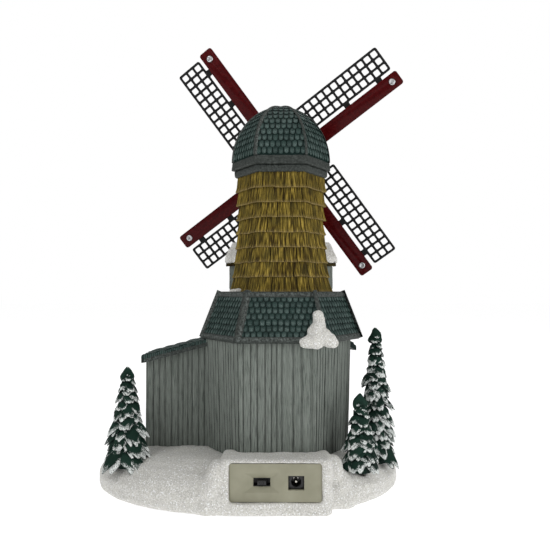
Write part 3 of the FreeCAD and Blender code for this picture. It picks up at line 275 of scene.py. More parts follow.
def lay_scales(surface, side, s0, s1, rng, rows, width, lift, round_end=0.5):
    """Rows of scales up a side, each row set off by half a scale from the one below."""
    pitch = (s1 - s0) / rows
    for row in range(rows):
        s = s0 + row * pitch
        half = side.half(s)
        count = max(1, round(2 * half / width))
        step = 2 * half / count
        for i in range(count + 1):
            u = -half + (i + (0.0 if row % 2 else 0.5)) * step
            if u - step / 2 < half:
                lay_scale(surface, side, u, s, step, pitch, lift * rng.uniform(0.85, 1.15),
                          0.5 + rng.uniform(-0.5, 0.5), round_end, rng)


def skirt_scales():
    """Seven rows of scales on each side of the skirt roof."""
    rng = random.Random(11)
    surface = Surface()
    for side in skirt_sides():
        lay_scales(surface, side, 2.6 * MM, side.length - 3.0 * MM, rng, rows=7, width=3.55 * MM,
                   lift=0.8 * MM)
    surface.make("skirt_scales", "shingle_green")


def dome_profile():
    """The dome's outline: a quarter of an ellipse from its foot to the small crown."""
    low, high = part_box("cap_dome")
    radius = corner_radius("cap_dome", low.z, tower_axis)
    steps, last = 40, math.radians(86)      # the crown covers the rest of the curve
    rise = (high.z - low.z) / math.sin(last)
    return [(radius * math.cos(last * i / steps), low.z + rise * math.sin(last * i / steps))
            for i in range(steps + 1)]


def dome_scales():
    """Eleven rows of scales on each side of the dome, smaller towards the crown."""
    rng = random.Random(12)
    surface = Surface()
    for side in hex_sides(tower_axis, dome_profile()):
        lay_scales(surface, side, 0.6 * MM, side.length - 2.6 * MM, rng, rows=11, width=3.5 * MM,
                   lift=0.75 * MM)
    surface.make("dome_scales", "shingle_green", crease=50)


def shed_slope():
    """The top of the shed's roof: its foot is the outer edge, and it rises towards the barn."""
    low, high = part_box("shed_roof")
    points = [p.co for p in frame["nodes"]["shed_roof"].data.vertices]
    outer_top = max(p.z for p in points if p.x > high.x - 0.1 * MM)
    inner = min(points, key=lambda p: (p.x - low.x) ** 2 + (p.z - high.z) ** 2)
    foot = Vector((high.x, (low.y + high.y) / 2, outer_top))
    along = Vector((inner.x - foot.x, 0, high.z - outer_top))
    return Slope(foot, along, Vector((0, 1, 0)), (high.y - low.y) / 2, along.length)


def shed_shingles():
    """Ragged shingles on the shed, with a course that hangs over each free edge."""
    rng = random.Random(13)
    slope = shed_slope()
    surface = Surface()
    lay_scales(surface, slope, -0.8 * MM, slope.length, rng, rows=8, width=3.6 * MM, lift=1.1 * MM,
               round_end=0.25)
    surface.make("shed_shingles", "shingle_green")
    edge, boards = Surface(), Surface()
    thick = slope.foot.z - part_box("shed_roof")[0].z
    half_run = slope.length / 2
    faces = [Slope(slope.foot - UP * thick, UP, Vector((0, 1, 0)), slope.half_width, thick)]
    for across, end in ((-1, 1), (1, -1)):
        run = slope.along * end * (1 if across * slope.along.x > 0 else -1)
        foot = slope.at(end * slope.half_width, half_run, -thick)
        faces.append(Slope(foot, UP, run, half_run, thick))
    board_foot, board_top, board_thick = -0.5 * MM, 2.1 * MM, 1.0 * MM
    for face in faces:
        lay_ragged(edge, face, 2.6 * MM, rng)
        lay_board(boards, face, -face.half_width, face.half_width, board_foot, lambda at: board_top,
                  board_thick, 0.5, rng, rows=3)
    edge.make("shed_edge", "shingle_green")
    boards.make("shed_verge", "trim_grey")


def lay_ragged(surface, face, width, rng):
    """Butt ends of shingles along a roof's edge, each hanging by its own amount."""
    count = round(2 * face.half_width / width)
    step = 2 * face.half_width / count
    for i in range(count):
        u = -face.half_width + (i + 0.5) * step
        foot = rng.uniform(1.7, 2.5) * MM
        head = face.length + rng.uniform(0.0, 0.9) * MM
        lay_board(surface, face, u - step * 0.47, u + step * 0.47, foot, lambda at: head,
                  rng.uniform(0.9, 1.5) * MM, rng.random(), rng, rows=2)


def awning_shingles():
    """The small roof over the barn's side window."""
    rng = random.Random(14)
    points = [p.co for p in frame["nodes"]["window_awning"].data.vertices]
    turn = math.radians(120)
    out, across = Vector((-math.sin(turn), math.cos(turn), 0)), Vector((-math.cos(turn), -math.sin(turn), 0))
    reach = max(p.dot(out) for p in points)
    tip = max((p for p in points if p.dot(out) > reach - SAME_LEVEL), key=lambda p: p.z)
    head = max(points, key=lambda p: p.z)
    spans = [p.dot(across) for p in points]
    centre, half = (max(spans) + min(spans)) / 2, (max(spans) - min(spans)) / 2
    foot = out * reach + across * centre + UP * tip.z
    along = out * (head.dot(out) - reach) + UP * (head.z - tip.z)
    surface = Surface()
    slope = Slope(foot, along, across, half, along.length)
    lay_scales(surface, slope, -0.5 * MM, along.length * 0.95, rng, rows=3, width=3.4 * MM, lift=0.9 * MM,
               round_end=0.3)
    surface.make("awning_shingles", "shingle_green")


# ---- planks -------------------------------------------------------------------------------------
def lay_board(surface, side, u0, u1, s0, top, lift, tone, rng, rows=7):
    """One plank from s0 up to top(u), with worn edges and a slightly uneven face."""
    bevel = min(0.45 * MM, (u1 - u0) * 0.2)
    wave_across, wave_along, sway_along = 2.5 * MM, 14 * MM, 11 * MM
    seed = rng.uniform(0, 50)
    columns = ((u0, -0.4, 0.0), (u0, 0.55, 0.7), (u0 + bevel, 0.95, 1.0), ((u0 * 2 + u1) / 3, 1.0, 0.25),
               ((u0 + u1 * 2) / 3, 1.0, 0.25), (u1 - bevel, 0.95, 1.0), (u1, 0.55, 0.7), (u1, -0.4, 0.0))
    shares = [0.0, 0.0] + [i / rows for i in range(1, rows)] + [1.0, 1.0]
    made = []
    for j, share in enumerate(shares):
        row = []
        for u, high, worn in columns:
            s = s0 + (top(u) - s0) * share
            limit = side.half(s)
            wave = 1 + 0.28 * noise.noise(Vector((u / wave_across, s / wave_along, seed)))
            height = lift * (high * wave if high > 0 else high)
            if j in (0, len(shares) - 1):
                height = -0.4 * lift
            sway = 0.12 * MM * noise.noise(Vector((seed, s / sway_along, 0)))
            row.append((side.at(min(max(u + sway, -limit), limit), s, height), tone, worn))
        made.append(row)
    surface.grid(made)


NARROW_GAP, WIDE_GAP = 0.65 * MM, 1.1 * MM     # between narrow planks, and between broad ones
PLANK_LIFT = 0.8 * MM                           # how far a plank stands out, about


def lay_planks(surface, side, spans, top, rng, hole=None):
    """Planks across spans of (start, end, narrowest, widest), split round a hole (u0, u1, s0, s1)."""
    for start, end, narrow, wide in spans:
        gap = NARROW_GAP if wide < 5 * MM else WIDE_GAP
        u = start
        while u < end - 0.2 * MM:
            width = rng.uniform(narrow, wide)
            if end - u - width < narrow * 0.7:
                width = end - u
            tone, proud = rng.random(), PLANK_LIFT * rng.uniform(0.8, 1.15)
            u0, u1 = u + gap / 2 * rng.uniform(0.5, 1.3), u + width - gap / 2 * rng.uniform(0.5, 1.3)
            if hole and hole[0] < u + width / 2 < hole[1]:
                if hole[2] > 0:
                    lay_board(surface, side, u0, u1, 0.0, lambda at: hole[2], proud, tone, rng, rows=4)
                lay_board(surface, side, u0, u1, hole[3], top, proud, tone, rng, rows=4)
            else:
                lay_board(surface, side, u0, u1, 0.0, top, proud, tone, rng)
            u += width


def split_spans(half, hole, narrow, wide):
    """Plank spans across a side, with plank edges at the sides of its hole."""
    edges = [-half, half] if hole is None else [-half, hole[0], hole[1], half]
    return [(a, b, narrow, wide) for a, b in zip(edges, edges[1:])]


SIDE_CASING_HALF = 7.8 * MM                # half the width of the casing round the barn's side window


def hole_on(side, low, high):
    """A casing's outline on a side, from its box: (u0, u1, s0, s1)."""
    corners = [Vector((x, y, 0)) - side.axis for x in (low.x, high.x) for y in (low.y, high.y)]
    mid = sum(c.dot(side.across) for c in corners) / 4
    turned = abs(side.out.x) > 0.1
    half = SIDE_CASING_HALF if turned else (high.x - low.x) / 2
    return (mid - half, mid + half, low.z - side.levels[0], high.z - side.levels[0])


def barn_profile():
    """(corner radius, level) of the barn where its planks start and at its top."""
    low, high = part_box("barn_walls")
    foot, top = (corner_radius("barn_walls", z, barn_axis) for z in (low.z, high.z))
    share = (board_foot_z - low.z) / (high.z - low.z)
    return [(foot + (top - foot) * share, board_foot_z), (top, high.z)]


def barn_planks():
    """Planks on all six sides of the barn: broader ones on the right half of the back."""
    rng = random.Random(21)
    casings = islands("window_frames")
    side_window = min((c for c in casings if c[0].z < low_window_z), key=lambda c: c[0].x)
    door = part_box("door_frame")
    surface = Surface()
    for i, side in enumerate(hex_sides(barn_axis, barn_profile())):
        half = side.half(side.length)
        hole = {2: hole_on(side, *side_window), 3: hole_on(side, *door)}.get(i)
        spans = split_spans(half, hole, 3.0 * MM, 4.4 * MM)
        if i == 0:
            spans = [(-half, 0.1 * half, 3.0 * MM, 4.6 * MM), (0.1 * half, half, 4.8 * MM, 7.0 * MM)]
        lay_planks(surface, side, spans, lambda u: side.length - 0.3 * MM, rng, hole)
    surface.make("barn_planks", "plank_grey")


def shed_planks():
    """Planks on the shed's three outer walls; their tops follow the slope of its roof."""
    rng = random.Random(22)
    low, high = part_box("shed_walls")
    start = board_foot_z
    roof = shed_slope()
    thick = roof.foot.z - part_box("shed_roof")[0].z
    barn_side = barn_axis.x + barn_profile()[0][0]
    window = max((c for c in islands("window_frames") if c[0].z < low_window_z), key=lambda c: c[0].x)

    def under_roof(x):
        share = (roof.foot.x - x) / -roof.along.x
        return roof.foot.z + share * roof.along.z - thick - start

    surface = Surface()
    mid_x, half_x = (barn_side + high.x) / 2, (high.x - barn_side) / 2
    back = Slope(Vector((mid_x, high.y, start)), UP, Vector((-1, 0, 0)), half_x, high.z - start)
    lay_planks(surface, back, [(-half_x, half_x, 2.8 * MM, 4.4 * MM)], lambda u: under_roof(mid_x - u), rng)
    front = Slope(Vector((mid_x, low.y, start)), UP, Vector((1, 0, 0)), half_x, high.z - start)
    hole = (window[0].x - mid_x, window[1].x - mid_x, window[0].z - start, window[1].z - start)
    lay_planks(surface, front, split_spans(half_x, hole, 2.8 * MM, 4.4 * MM),
               lambda u: under_roof(mid_x + u), rng, hole)
    mid_y, half_y = (low.y + high.y) / 2, (high.y - low.y) / 2
    side = Slope(Vector((high.x, mid_y, start)), UP, Vector((0, 1, 0)), half_y, high.z - start)
    lay_planks(surface, side, [(-half_y, half_y, 3.0 * MM, 4.6 * MM)], lambda u: under_roof(high.x), rng)
    surface.make("shed_planks", "plank_grey")


# ---- rounded rails: roof trim and dome ribs -----------------------------------------------------
def lay_rail(surface, path, width, height, rng, grain=0.1 * MM):
    """A half-round strip along a path of (point, outward normal), with closed ends and carved unevenness."""
    rows, seed, tone = [], rng.uniform(0, 40), rng.random()
    last = len(path) - 1
    end_depth, side_depth = 0.3 * MM, 0.5 * MM      # how deep the ends and the sides reach into the roof
    for j, (point, normal) in enumerate([path[0]] + path + [path[-1]]):
        ahead = path[min(j, last)][0] - path[max(min(j, last) - 1, 0)][0]
        if ahead.length < 1e-9:
            ahead = path[1][0] - path[0][0]
        sideways = ahead.normalized().cross(normal).normalized()
        row = []
        for k in range(9):
            a = k / 4 - 1
            rise = height * (1 - abs(a) ** 3.2) if j not in (0, last + 2) else -end_depth
            rise -= side_depth if abs(a) == 1 else 0.0
            base = point + sideways * (a * width / 2)
            rough = grain * (ripple(base, 1.6 * MM, seed) + ripple(base, 5 * MM, seed))
            worn = max(0.0, 1 - abs(a) * 1.1)
            row.append((base + normal * (rise + rough) + sideways * rough * 0.7, tone, worn))
        rows.append(row)
    surface.grid(rows)


def corner_normal(sides, k, s):
    """The direction out of the corner between two sides."""
    a, b = sides[k], sides[(k + 1) % 6]
    return ((a.at(0, s, 1.0) - a.at(0, s, 0.0)) + (b.at(0, s, 1.0) - b.at(0, s, 0.0))).normalized()


def skirt_trim():
    """The raised frame of the skirt roof: eave rails, ledge rails and hips."""
    rng = random.Random(31)
    sides = skirt_sides()
    surface = Surface()
    rail_width, rail_height, rail_steps = 4.2 * MM, 1.5 * MM, 44
    hip_width, hip_height, hip_steps = 5.2 * MM, 2.0 * MM, 36
    for k, side in enumerate(sides):
        normal = (side.at(0, 1, 1) - side.at(0, 1, 0)).normalized()
        for s in (1.7 * MM, side.length - 2.0 * MM):
            half = side.half(s)
            path = [(side.at(-half, s, 0).lerp(side.at(half, s, 0), i / rail_steps), normal)
                    for i in range(rail_steps + 1)]
            lay_rail(surface, path, rail_width, rail_height, rng)
        climb = [side.length * i / hip_steps for i in range(hip_steps + 1)]
        hip = [(side.at(-side.half(s), s, 0), corner_normal(sides, k, 0.01)) for s in climb]
        lay_rail(surface, hip, hip_width, hip_height, rng)
    surface.make("skirt_trim", "trim_grey", ["skirt_roof_trim"], crease=60)


# The crown's rings, from its foot up: radius and height over the dome's top in mm, and how worn.
CROWN = ((4.2, -1.8, 0.2), (4.6, -0.8, 0.6), (3.8, 0.1, 1.0), (2.0, 0.45, 0.7), (0.05, 0.5, 0.6))


def dome_trim():
    """Six ribs that taper to the crown, and the crown itself."""
    rng = random.Random(32)
    sides = hex_sides(tower_axis, dome_profile())
    surface = Surface()
    rib_width, rib_height, rib_steps = 2.7 * MM, 1.0 * MM, 48
    for k, side in enumerate(sides):
        climb = [side.length * i / rib_steps for i in range(rib_steps + 1)]
        rib = [(side.at(-side.half(s), s, 0), corner_normal(sides, k, s)) for s in climb]
        lay_rail(surface, rib, rib_width, rib_height, rng, grain=0.08 * MM)
    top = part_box("cap_dome")[1].z
    crown = [[(point, 0.5, worn) for point in circle(tower_axis, radius * MM, top + z * MM, 24)]
             for radius, z, worn in CROWN]
    surface.grid(crown, closed=True)
    surface.make("dome_trim", "trim_grey", ["cap_ribs"], crease=60)


# ---- thatch -------------------------------------------------------------------------------------
def ring_point(axis, radius, place, z):
    """A point on a hexagon's outline; place runs from 0 to 6 round it."""
    k, share = int(place) % 6, place - int(place)
    turns = [math.radians(60 * j) for j in (k, k + 1)]
    corners = [Vector((math.cos(a), math.sin(a), 0)) for a in turns]
    return Vector((axis.x, axis.y, z)) + corners[0].lerp(corners[1], share) * radius


def course_levels():
    """(foot radius, head radius, foot level, head level) of each thatch course, lowest first."""
    points = frame["nodes"]["tower_walls"].data.vertices
    count = 8
    height = (tower_top_z - tower_foot_z) / count

    def radii(z):
        return [abs(p.co.x - tower_axis.x) for p in points if abs(p.co.z - z) < SAME_LEVEL]

    rings = []
    for i in range(count):
        z0, z1 = tower_foot_z + i * height, tower_foot_z + (i + 1) * height
        foot = max(radii(z0))
        heads = [radius for radius in radii(z1) if radius < foot - 0.2 * MM or i == count - 1]
        rings.append((foot, max(heads), z0, z1))
    return rings


FACET_WIDTH = 29 * MM                     # a side of the tower, about


class Bundles:
    """Reed bundles round one course: where each ends, how far it hangs and its tone."""

    def __init__(self, rng):
        self.ends, self.hang, self.tones, self.joints = [], [], [], []
        place = 0.0
        while place < 6:
            place += rng.uniform(0.10, 0.34)
            self.ends.append(min(place, 6.0))
            self.hang.append(rng.uniform(-0.22, 0.22) * MM)
            self.tones.append(rng.uniform(0.25, 0.75))
            self.joints.append(rng.choice((0.25, 0.6, 1.0)))

    def at(self, place):
        """(hang, tone, depth of the joint beside this place)."""
        i = min(int(np.searchsorted(self.ends, place)), len(self.ends) - 1)
        start = self.ends[i - 1] if i else 0.0
        near = min(place - start, self.ends[i] - place) * FACET_WIDTH / MM
        joint_reach = 0.42
        return self.hang[i], self.tones[i], self.joints[i] * max(0.0, 1 - near / joint_reach)


# A course's lip, from its underside out: share up the course, how far it stands out in mm, how worn.
THATCH_LIP = [(0.16, -1.8, 0.0), (-0.01, -0.3, 0.0), (-0.045, 0.9, 0.5), (-0.01, 1.3, 0.9),
              (0.035, 1.2, 0.35)]


def thatch_course(index, foot, head, z0, z1, window, rng):
    """One course: a lip of cut reed ends over the course below, and combed strands up to the next lip."""
    columns, surface, bundles = 600, Surface(), Bundles(rng)
    seed = rng.uniform(0, 90)
    rise = z1 - z0
    strands_up = [(0.06 + 0.157 * i, 0.85 - 0.12 * i, 0.0) for i in range(1, 7)]
    profile = THATCH_LIP + strands_up + [(1.14, -0.2, 0.0)]
    rows = []
    for share, lift, worn in profile:
        row = []
        for c in range(columns):
            place = 6 * c / columns
            hang, tone, joint = bundles.at(place)
            around = place * FACET_WIDTH / MM
            strand = noise.noise(Vector((around * 1.15, share * 0.6, seed)))
            fine = noise.noise(Vector((around * 3.3, share * 1.9, seed + 7)))
            wave = noise.noise(Vector((around * 0.12, seed, 3))) * 0.2 * MM
            loose = (hang + wave + fine * 0.22 * MM) * max(0.0, 1 - share * 3)
            radius = foot + (head - foot) * min(max(share, 0.0), 1.0) ** 0.8
            bump = lift * MM + (0.16 * strand + 0.34 * fine) * MM * (lift > 0)
            bump -= joint * 0.9 * MM * (lift > 0.2)
            point = ring_point(tower_axis, radius + bump / COS30, place, z0 + rise * share + loose)
            shade = tone * 0.3 + 0.33 + 0.35 * strand + 0.75 * fine
            row.append((point, min(max(shade, 0.0), 1.0) * (1 - 0.85 * joint), worn * (0.8 + 0.6 * fine)))
        rows.append(row)
    surface.grid(rows, closed=True)
    surface.faces = [f for f in surface.faces if not covers(surface.points[f[0]], *window)]
    surface.make(f"thatch_course_{index + 1}", "thatch", crease=70)


def covers(point, low, high):
    """Whether a point on the front lies inside a casing's outline."""
    return low.x < point.x < high.x and low.z < point.z < high.z and point.y < tower_axis.y


def tower_thatch():
    """The tower's courses, open where its front window is."""
    rng = random.Random(41)
    casings = [c for c in islands("window_frames") if c[0].z > ledge_z]
    window = min(casings, key=lambda c: abs((c[0].x + c[1].x) / 2 - tower_axis.x))
    for index, (foot, head, z0, z1) in enumerate(course_levels()):
        thatch_course(index, foot, head, z0, z1, window, rng)


def dormer_thatch():
    """Combed thatch on the dormers' gables."""
    piece = carved("dormer_roofs", 0.4, smooth=1)

    def strands(point):
        fine, long = 0.7 * MM, 9 * MM
        across = noise.noise(Vector((point.x / fine, point.y / fine, point.z / long)))
        return (0.3 * across + 0.2 * ripple(point, 3 * MM)) * MM

    push(piece, strands)
    settle(piece, "thatch", ["dormer_roofs"], crease=70)


# ---- carved and softened copies of CAD nodes ----------------------------------------------------
def as_object(mesh, name):
    """Turns a bmesh into an object in the scene."""
    data = bpy.data.meshes.new(name)
    mesh.to_mesh(data)
    mesh.free()
    piece = bpy.data.objects.new(name, data)
    bpy.context.scene.collection.objects.link(piece)
    return piece


def applied(piece):
    """The piece with its modifiers turned into mesh."""
    bpy.context.view_layer.update()
    graph = bpy.context.evaluated_depsgraph_get()
    data = bpy.data.meshes.new_from_object(piece.evaluated_get(graph))
    piece.modifiers.clear()
    piece.data = data
    return piece


def carved(node, voxel, smooth=2):
    """A copy of a node remeshed into quads of voxel mm, with soft edges."""
    return melt(as_object(welded(node), node + "_carved"), voxel, smooth)


def melt(piece, voxel, smooth):
    """Runs a piece's parts together into one skin of quads of voxel mm."""
    remesh = piece.modifiers.new("remesh", "REMESH")
    remesh.mode = "VOXEL"
    remesh.voxel_size = voxel * MM
    soft = piece.modifiers.new("smooth", "SMOOTH")
    soft.factor = 0.5
    soft.iterations = smooth
    return applied(piece)


def points_and_normals(data):
    """A mesh's points and their normals, as two arrays."""
    points, normals = np.zeros(len(data.vertices) * 3), np.zeros(len(data.vertices) * 3)
    data.vertices.foreach_get("co", points)
    data.vertex_normals.foreach_get("vector", normals)
    return points.reshape(-1, 3), normals.reshape(-1, 3)


def push(piece, amount):
    """Moves each point along its normal by amount(point)."""
    points, normals = points_and_normals(piece.data)
    steps = np.array([amount(Vector(point)) for point in points])
    piece.data.vertices.foreach_set("co", (points + normals * steps[:, None]).ravel())
    piece.data.update()


def mark_crests(piece):
    """Stores how far each point stands out from its neighbours, for rubbed paint."""
    data = piece.data
    points, normals = points_and_normals(data)
    edges = np.zeros(len(data.edges) * 2, dtype=np.int32)
    data.edges.foreach_get("vertices", edges)
    edges = edges.reshape(-1, 2)
    total, near = np.zeros_like(points), np.zeros(len(points))
    for a, b in ((0, 1), (1, 0)):
        np.add.at(total, edges[:, a], points[edges[:, b]])
        np.add.at(near, edges[:, a], 1)
    span = np.linalg.norm(points[edges[:, 0]] - points[edges[:, 1]], axis=1).mean()
    proud = ((points - total / np.maximum(near, 1)[:, None]) * normals).sum(axis=1) / span
    store(data, "worn", np.clip(proud * 1.6, 0, 1))
    store(data, "tone", np.array([0.5 + 0.5 * noise.noise(Vector(point) / (4 * MM)) for point in points]))


def carve_rings():
    """The rings under the dome and the bearing block, carved like the roof trim."""
    for node, voxel in (("curb_ring", 0.7), ("cap_ring", 0.7), ("bearing_block", 0.6)):
        piece = carved(node, voxel)
        push(piece, lambda p: waves(p, (0.22, 2.2, 3), (0.16, 6, 9)))
        mark_crests(piece)
        settle(piece, "trim_grey", [node], crease=60)


def carve_joinery():
    """Casings, door and dormer walls with the softness of a painted casting."""
    for node, voxel, paint in (("door_frame", 0.45, "trim_grey"), ("window_frames", 0.35, "trim_grey"),
                               ("front_door", 0.45, "door_red"), ("dormer_walls", 0.6, "plank_grey")):
        piece = carved(node, voxel, smooth=1)
        push(piece, lambda p: waves((p.x, p.y, p.z / 6), (0.16, 1.1, 5)))
        mark_crests(piece)
        settle(piece, paint, [node], crease=60)


def softened(node, width):
    """A copy of a node with its flat faces cleaned up and its edges rounded over width mm."""
    mesh = welded(node)
    bmesh.ops.dissolve_limit(mesh, angle_limit=math.radians(2), verts=mesh.verts, edges=mesh.edges)
    piece = as_object(mesh, node + "_soft")
    bevel = piece.modifiers.new("bevel", "BEVEL")
    bevel.width = width * MM
    bevel.segments = 2
    bevel.limit_method = "ANGLE"
    bevel.angle_limit = math.radians(30)
    return applied(piece)


def soft_hardware():
    """Rounded edges on the sails, the panel and what sits in it."""
    jobs = [(f"sail_spar_{i}", 0.45, "spar_red", "sails") for i in range(1, 5)]
    jobs += [("sail_hub", 0.3, "lattice_black", "sails"), ("hub_cap", 0.2, "spar_red", "sails"),
             ("sail_rivets", 0.12, "steel", "sails"), ("rear_panel", 0.35, "panel_cream", "building"),
             ("slide_switch_body", 0.15, "black_plastic", "building"),
             ("dc_jack_housing", 0.25, "black_plastic", "building"),
             ("switch_knob", 0.15, "black_plastic", "switch_slider")]
    for node, width, paint, body in jobs:
        settle(softened(node, width), paint, [node], crease=35, body=body)
    for i in range(1, 5):
        node = f"sail_lattice_{i}"
        settle(carved(node, 0.4), "lattice_black", [node], crease=70, body="sails")


# ---- snow ---------------------------------------------------------------------------------------
def lump(mesh, centre, radii):
    """Adds a ball of snow with three radii to a bmesh."""
    made = bmesh.ops.create_icosphere(mesh, subdivisions=3, radius=1.0)
    for vert in made["verts"]:
        vert.co = centre + Vector((vert.co.x * radii[0], vert.co.y * radii[1], vert.co.z * radii[2]))


# The lumps of the hood's shoulders: level beside the panel's middle, half width and half depth, in mm.
SHOULDER = ((-13, 10, 10), (-5, 8, 9), (3, 5.5, 9))


def snow_ground():
    """The ground: lumpy, grainy snow that rounds over the casting's edges and frames the panel."""
    mesh = welded("base_casting")
    low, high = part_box("base_casting")
    panel_half = (panel_high.x - panel_low.x) / 2
    panel_x = (panel_low.x + panel_high.x) / 2
    panel_z = (panel_low.z + panel_high.z) / 2
    frame_width = 2.5
    for side in (-1, 1):
        for level, out, deep in SHOULDER:
            place = panel_x + side * (panel_half + (frame_width + out) * MM)
            share = (place - (low.x + high.x) / 2) / ((high.x - low.x) / 2)
            edge_y = high.y * math.sqrt(1 - share ** 2)
            centre = Vector((place, edge_y - (deep - 0.8) * MM, panel_z + level * MM))
            lump(mesh, centre, (out * MM, deep * MM, 9 * MM))
    piece = melt(as_object(mesh, "snow_ground"), 0.95, 5)

    def lumps(point):
        coarse = waves(point, (0.75, 17, 2), (0.4, 7, 5))
        fine = waves(point, (0.2, 2.4, 8), (0.1, 1.3, 1))
        settled = min(max((point.z - low.z) / (3 * MM), 0.0), 1.0)
        return (coarse * settled + fine) * (0.35 if panel_near(point) else 1.0)

    push(piece, lumps)
    for vert in piece.data.vertices:
        vert.co.z = max(vert.co.z, low.z)
        vert.co.y = min(vert.co.y, high.y)
    settle(piece, "snow", ["base_casting"], crease=80)


def panel_near(point):
    """Whether a point of the snow is next to the control panel."""
    near, behind = 2 * MM, 6 * MM
    return (panel_low.x - near < point.x < panel_high.x + near and point.y > panel_low.y - behind
            and panel_low.z - near < point.z < panel_high.z + near)


# A drift's lumps: share across it from the left, share up the roof, and radius in mm.
DRIFT = ((0.50, 0.90, 2.9), (0.51, 0.76, 3.4), (0.50, 0.60, 4.0), (0.44, 0.44, 4.8), (0.62, 0.34, 4.6),
         (0.76, 0.22, 3.8), (0.88, 0.15, 2.6), (0.42, 0.22, 4.8), (0.26, 0.18, 3.8), (0.12, 0.14, 2.6))
DRIFT_WIDTH, DRIFT_REACH = 23 * MM, 22 * MM
DRIFT_SHIFT = 2.4 * MM                    # the melted drift sits a little to the right of the CAD's
LEDGE_DABS = ((66, 4.6), (74, 3.4), (-128, 4.0))    # snow on the ledge: bearing and half length in mm


def roof_snow():
    """Soft drifts on the skirt roof and the dormers, melted into round lumps."""
    mesh = welded("roof_snow")
    dormer_snow_z = ledge_z + 5 * MM
    stale = [v for v in mesh.verts if v.co.z < dormer_snow_z]
    bmesh.ops.delete(mesh, geom=stale, context="VERTS")
    sides = skirt_sides()
    for low, high in islands("roof_snow"):
        if high.z > dormer_snow_z:
            continue
        away = (low + high) / 2 - tower_axis
        side = sides[round(math.degrees(math.atan2(-away.x, away.y)) / 60) % 6]
        for across, up, radius in DRIFT:
            u = away.dot(side.across) + (across - 0.5) * DRIFT_WIDTH + DRIFT_SHIFT
            centre = side.at(u, up * DRIFT_REACH - 3.4 * MM, 0.9 * MM)
            lump(mesh, centre, (radius * MM, radius * 0.8 * MM, radius * MM))
    ledge = (sides[0].radii[1] - 4 * MM) * COS30
    for degrees, long in LEDGE_DABS:
        turn = math.radians(degrees)
        spot = Vector((tower_axis.x + ledge * math.sin(turn), tower_axis.y + ledge * math.cos(turn), ledge_z))
        lump(mesh, spot, (long * MM, 2.2 * MM, 1.5 * MM))
    piece = melt(as_object(mesh, "roof_snow_soft"), 0.6, 14)
    push(piece, lambda p: 0.5 * MM + waves(p, (0.7, 4.5, 2), (0.2, 1.6, 6)))
    settle(piece, "snow", ["roof_snow"], crease=80)


def snowy_steps():
    """The front step under a crust of snow."""
    piece = carved("front_steps", 0.6)
    push(piece, lambda p: waves(p, (0.3, 3, 2), (0.15, 1.2, 6)))
    settle(piece, "snow", ["front_steps"], crease=80)


# ---- trees --------------------------------------------------------------------------------------
def lay_spray(surface, root, tip, droop, radius, rng):
    """A spray of needles: a drooping, ridged leaf with snow brushed on its edges, upper side and tip."""
    around, steps = 8, 7
    broad, thick = 1.25, 0.62               # the leaf's half width and half thickness, as shares of its size
    tone, seed = rng.random(), rng.uniform(0, 80)
    snowed = rng.uniform(0.55, 1.15)
    axis = tip - root
    sideways = axis.cross(UP)
    sideways = sideways.normalized() if sideways.length > 1e-9 else Vector((1, 0, 0))
    over = sideways.cross(axis).normalized()
    rows = []
    for j in range(steps + 1):
        share = j / steps
        centre = root + axis * share - UP * (droop * share ** 2.2)
        size = radius * 1.45 * math.sin(math.pi * (0.16 + 0.81 * share)) ** 0.85
        size *= 0.2 if j == 0 else 1.0
        row = []
        for k in range(around):
            turn = math.tau * k / around
            ridge = 1 + 0.5 * noise.noise(Vector((k * 1.9 + seed, share * 2.3, seed)))
            reach = (sideways * (math.cos(turn) * broad) + over * (math.sin(turn) * thick)) * size * ridge
            top = max(0.0, math.sin(turn))
            edge = max(abs(math.cos(turn)) ** 3, max(0.0, share - 0.8) * 4.0)
            outer = max(0.0, share - 0.25) * 1.6
            snow = outer * (0.12 + 0.88 * edge) * (0.45 + 0.55 * top) * snowed
            row.append((centre + reach, tone, min(snow * rng.uniform(0.5, 1.3), 1.0)))
        rows.append(row)
    surface.grid(rows, closed=True)


BOUGHS = 62                               # on a tree 60 mm high that reaches 14 mm each way
# The core inside the boughs, painted at the darkest tone as shade: share of the height, and radius as a share
# of the spread.
TREE_CORE = ((0.0, 0.6), (0.1, 0.66), (0.5, 0.42), (0.9, 0.12), (0.985, 0.02))


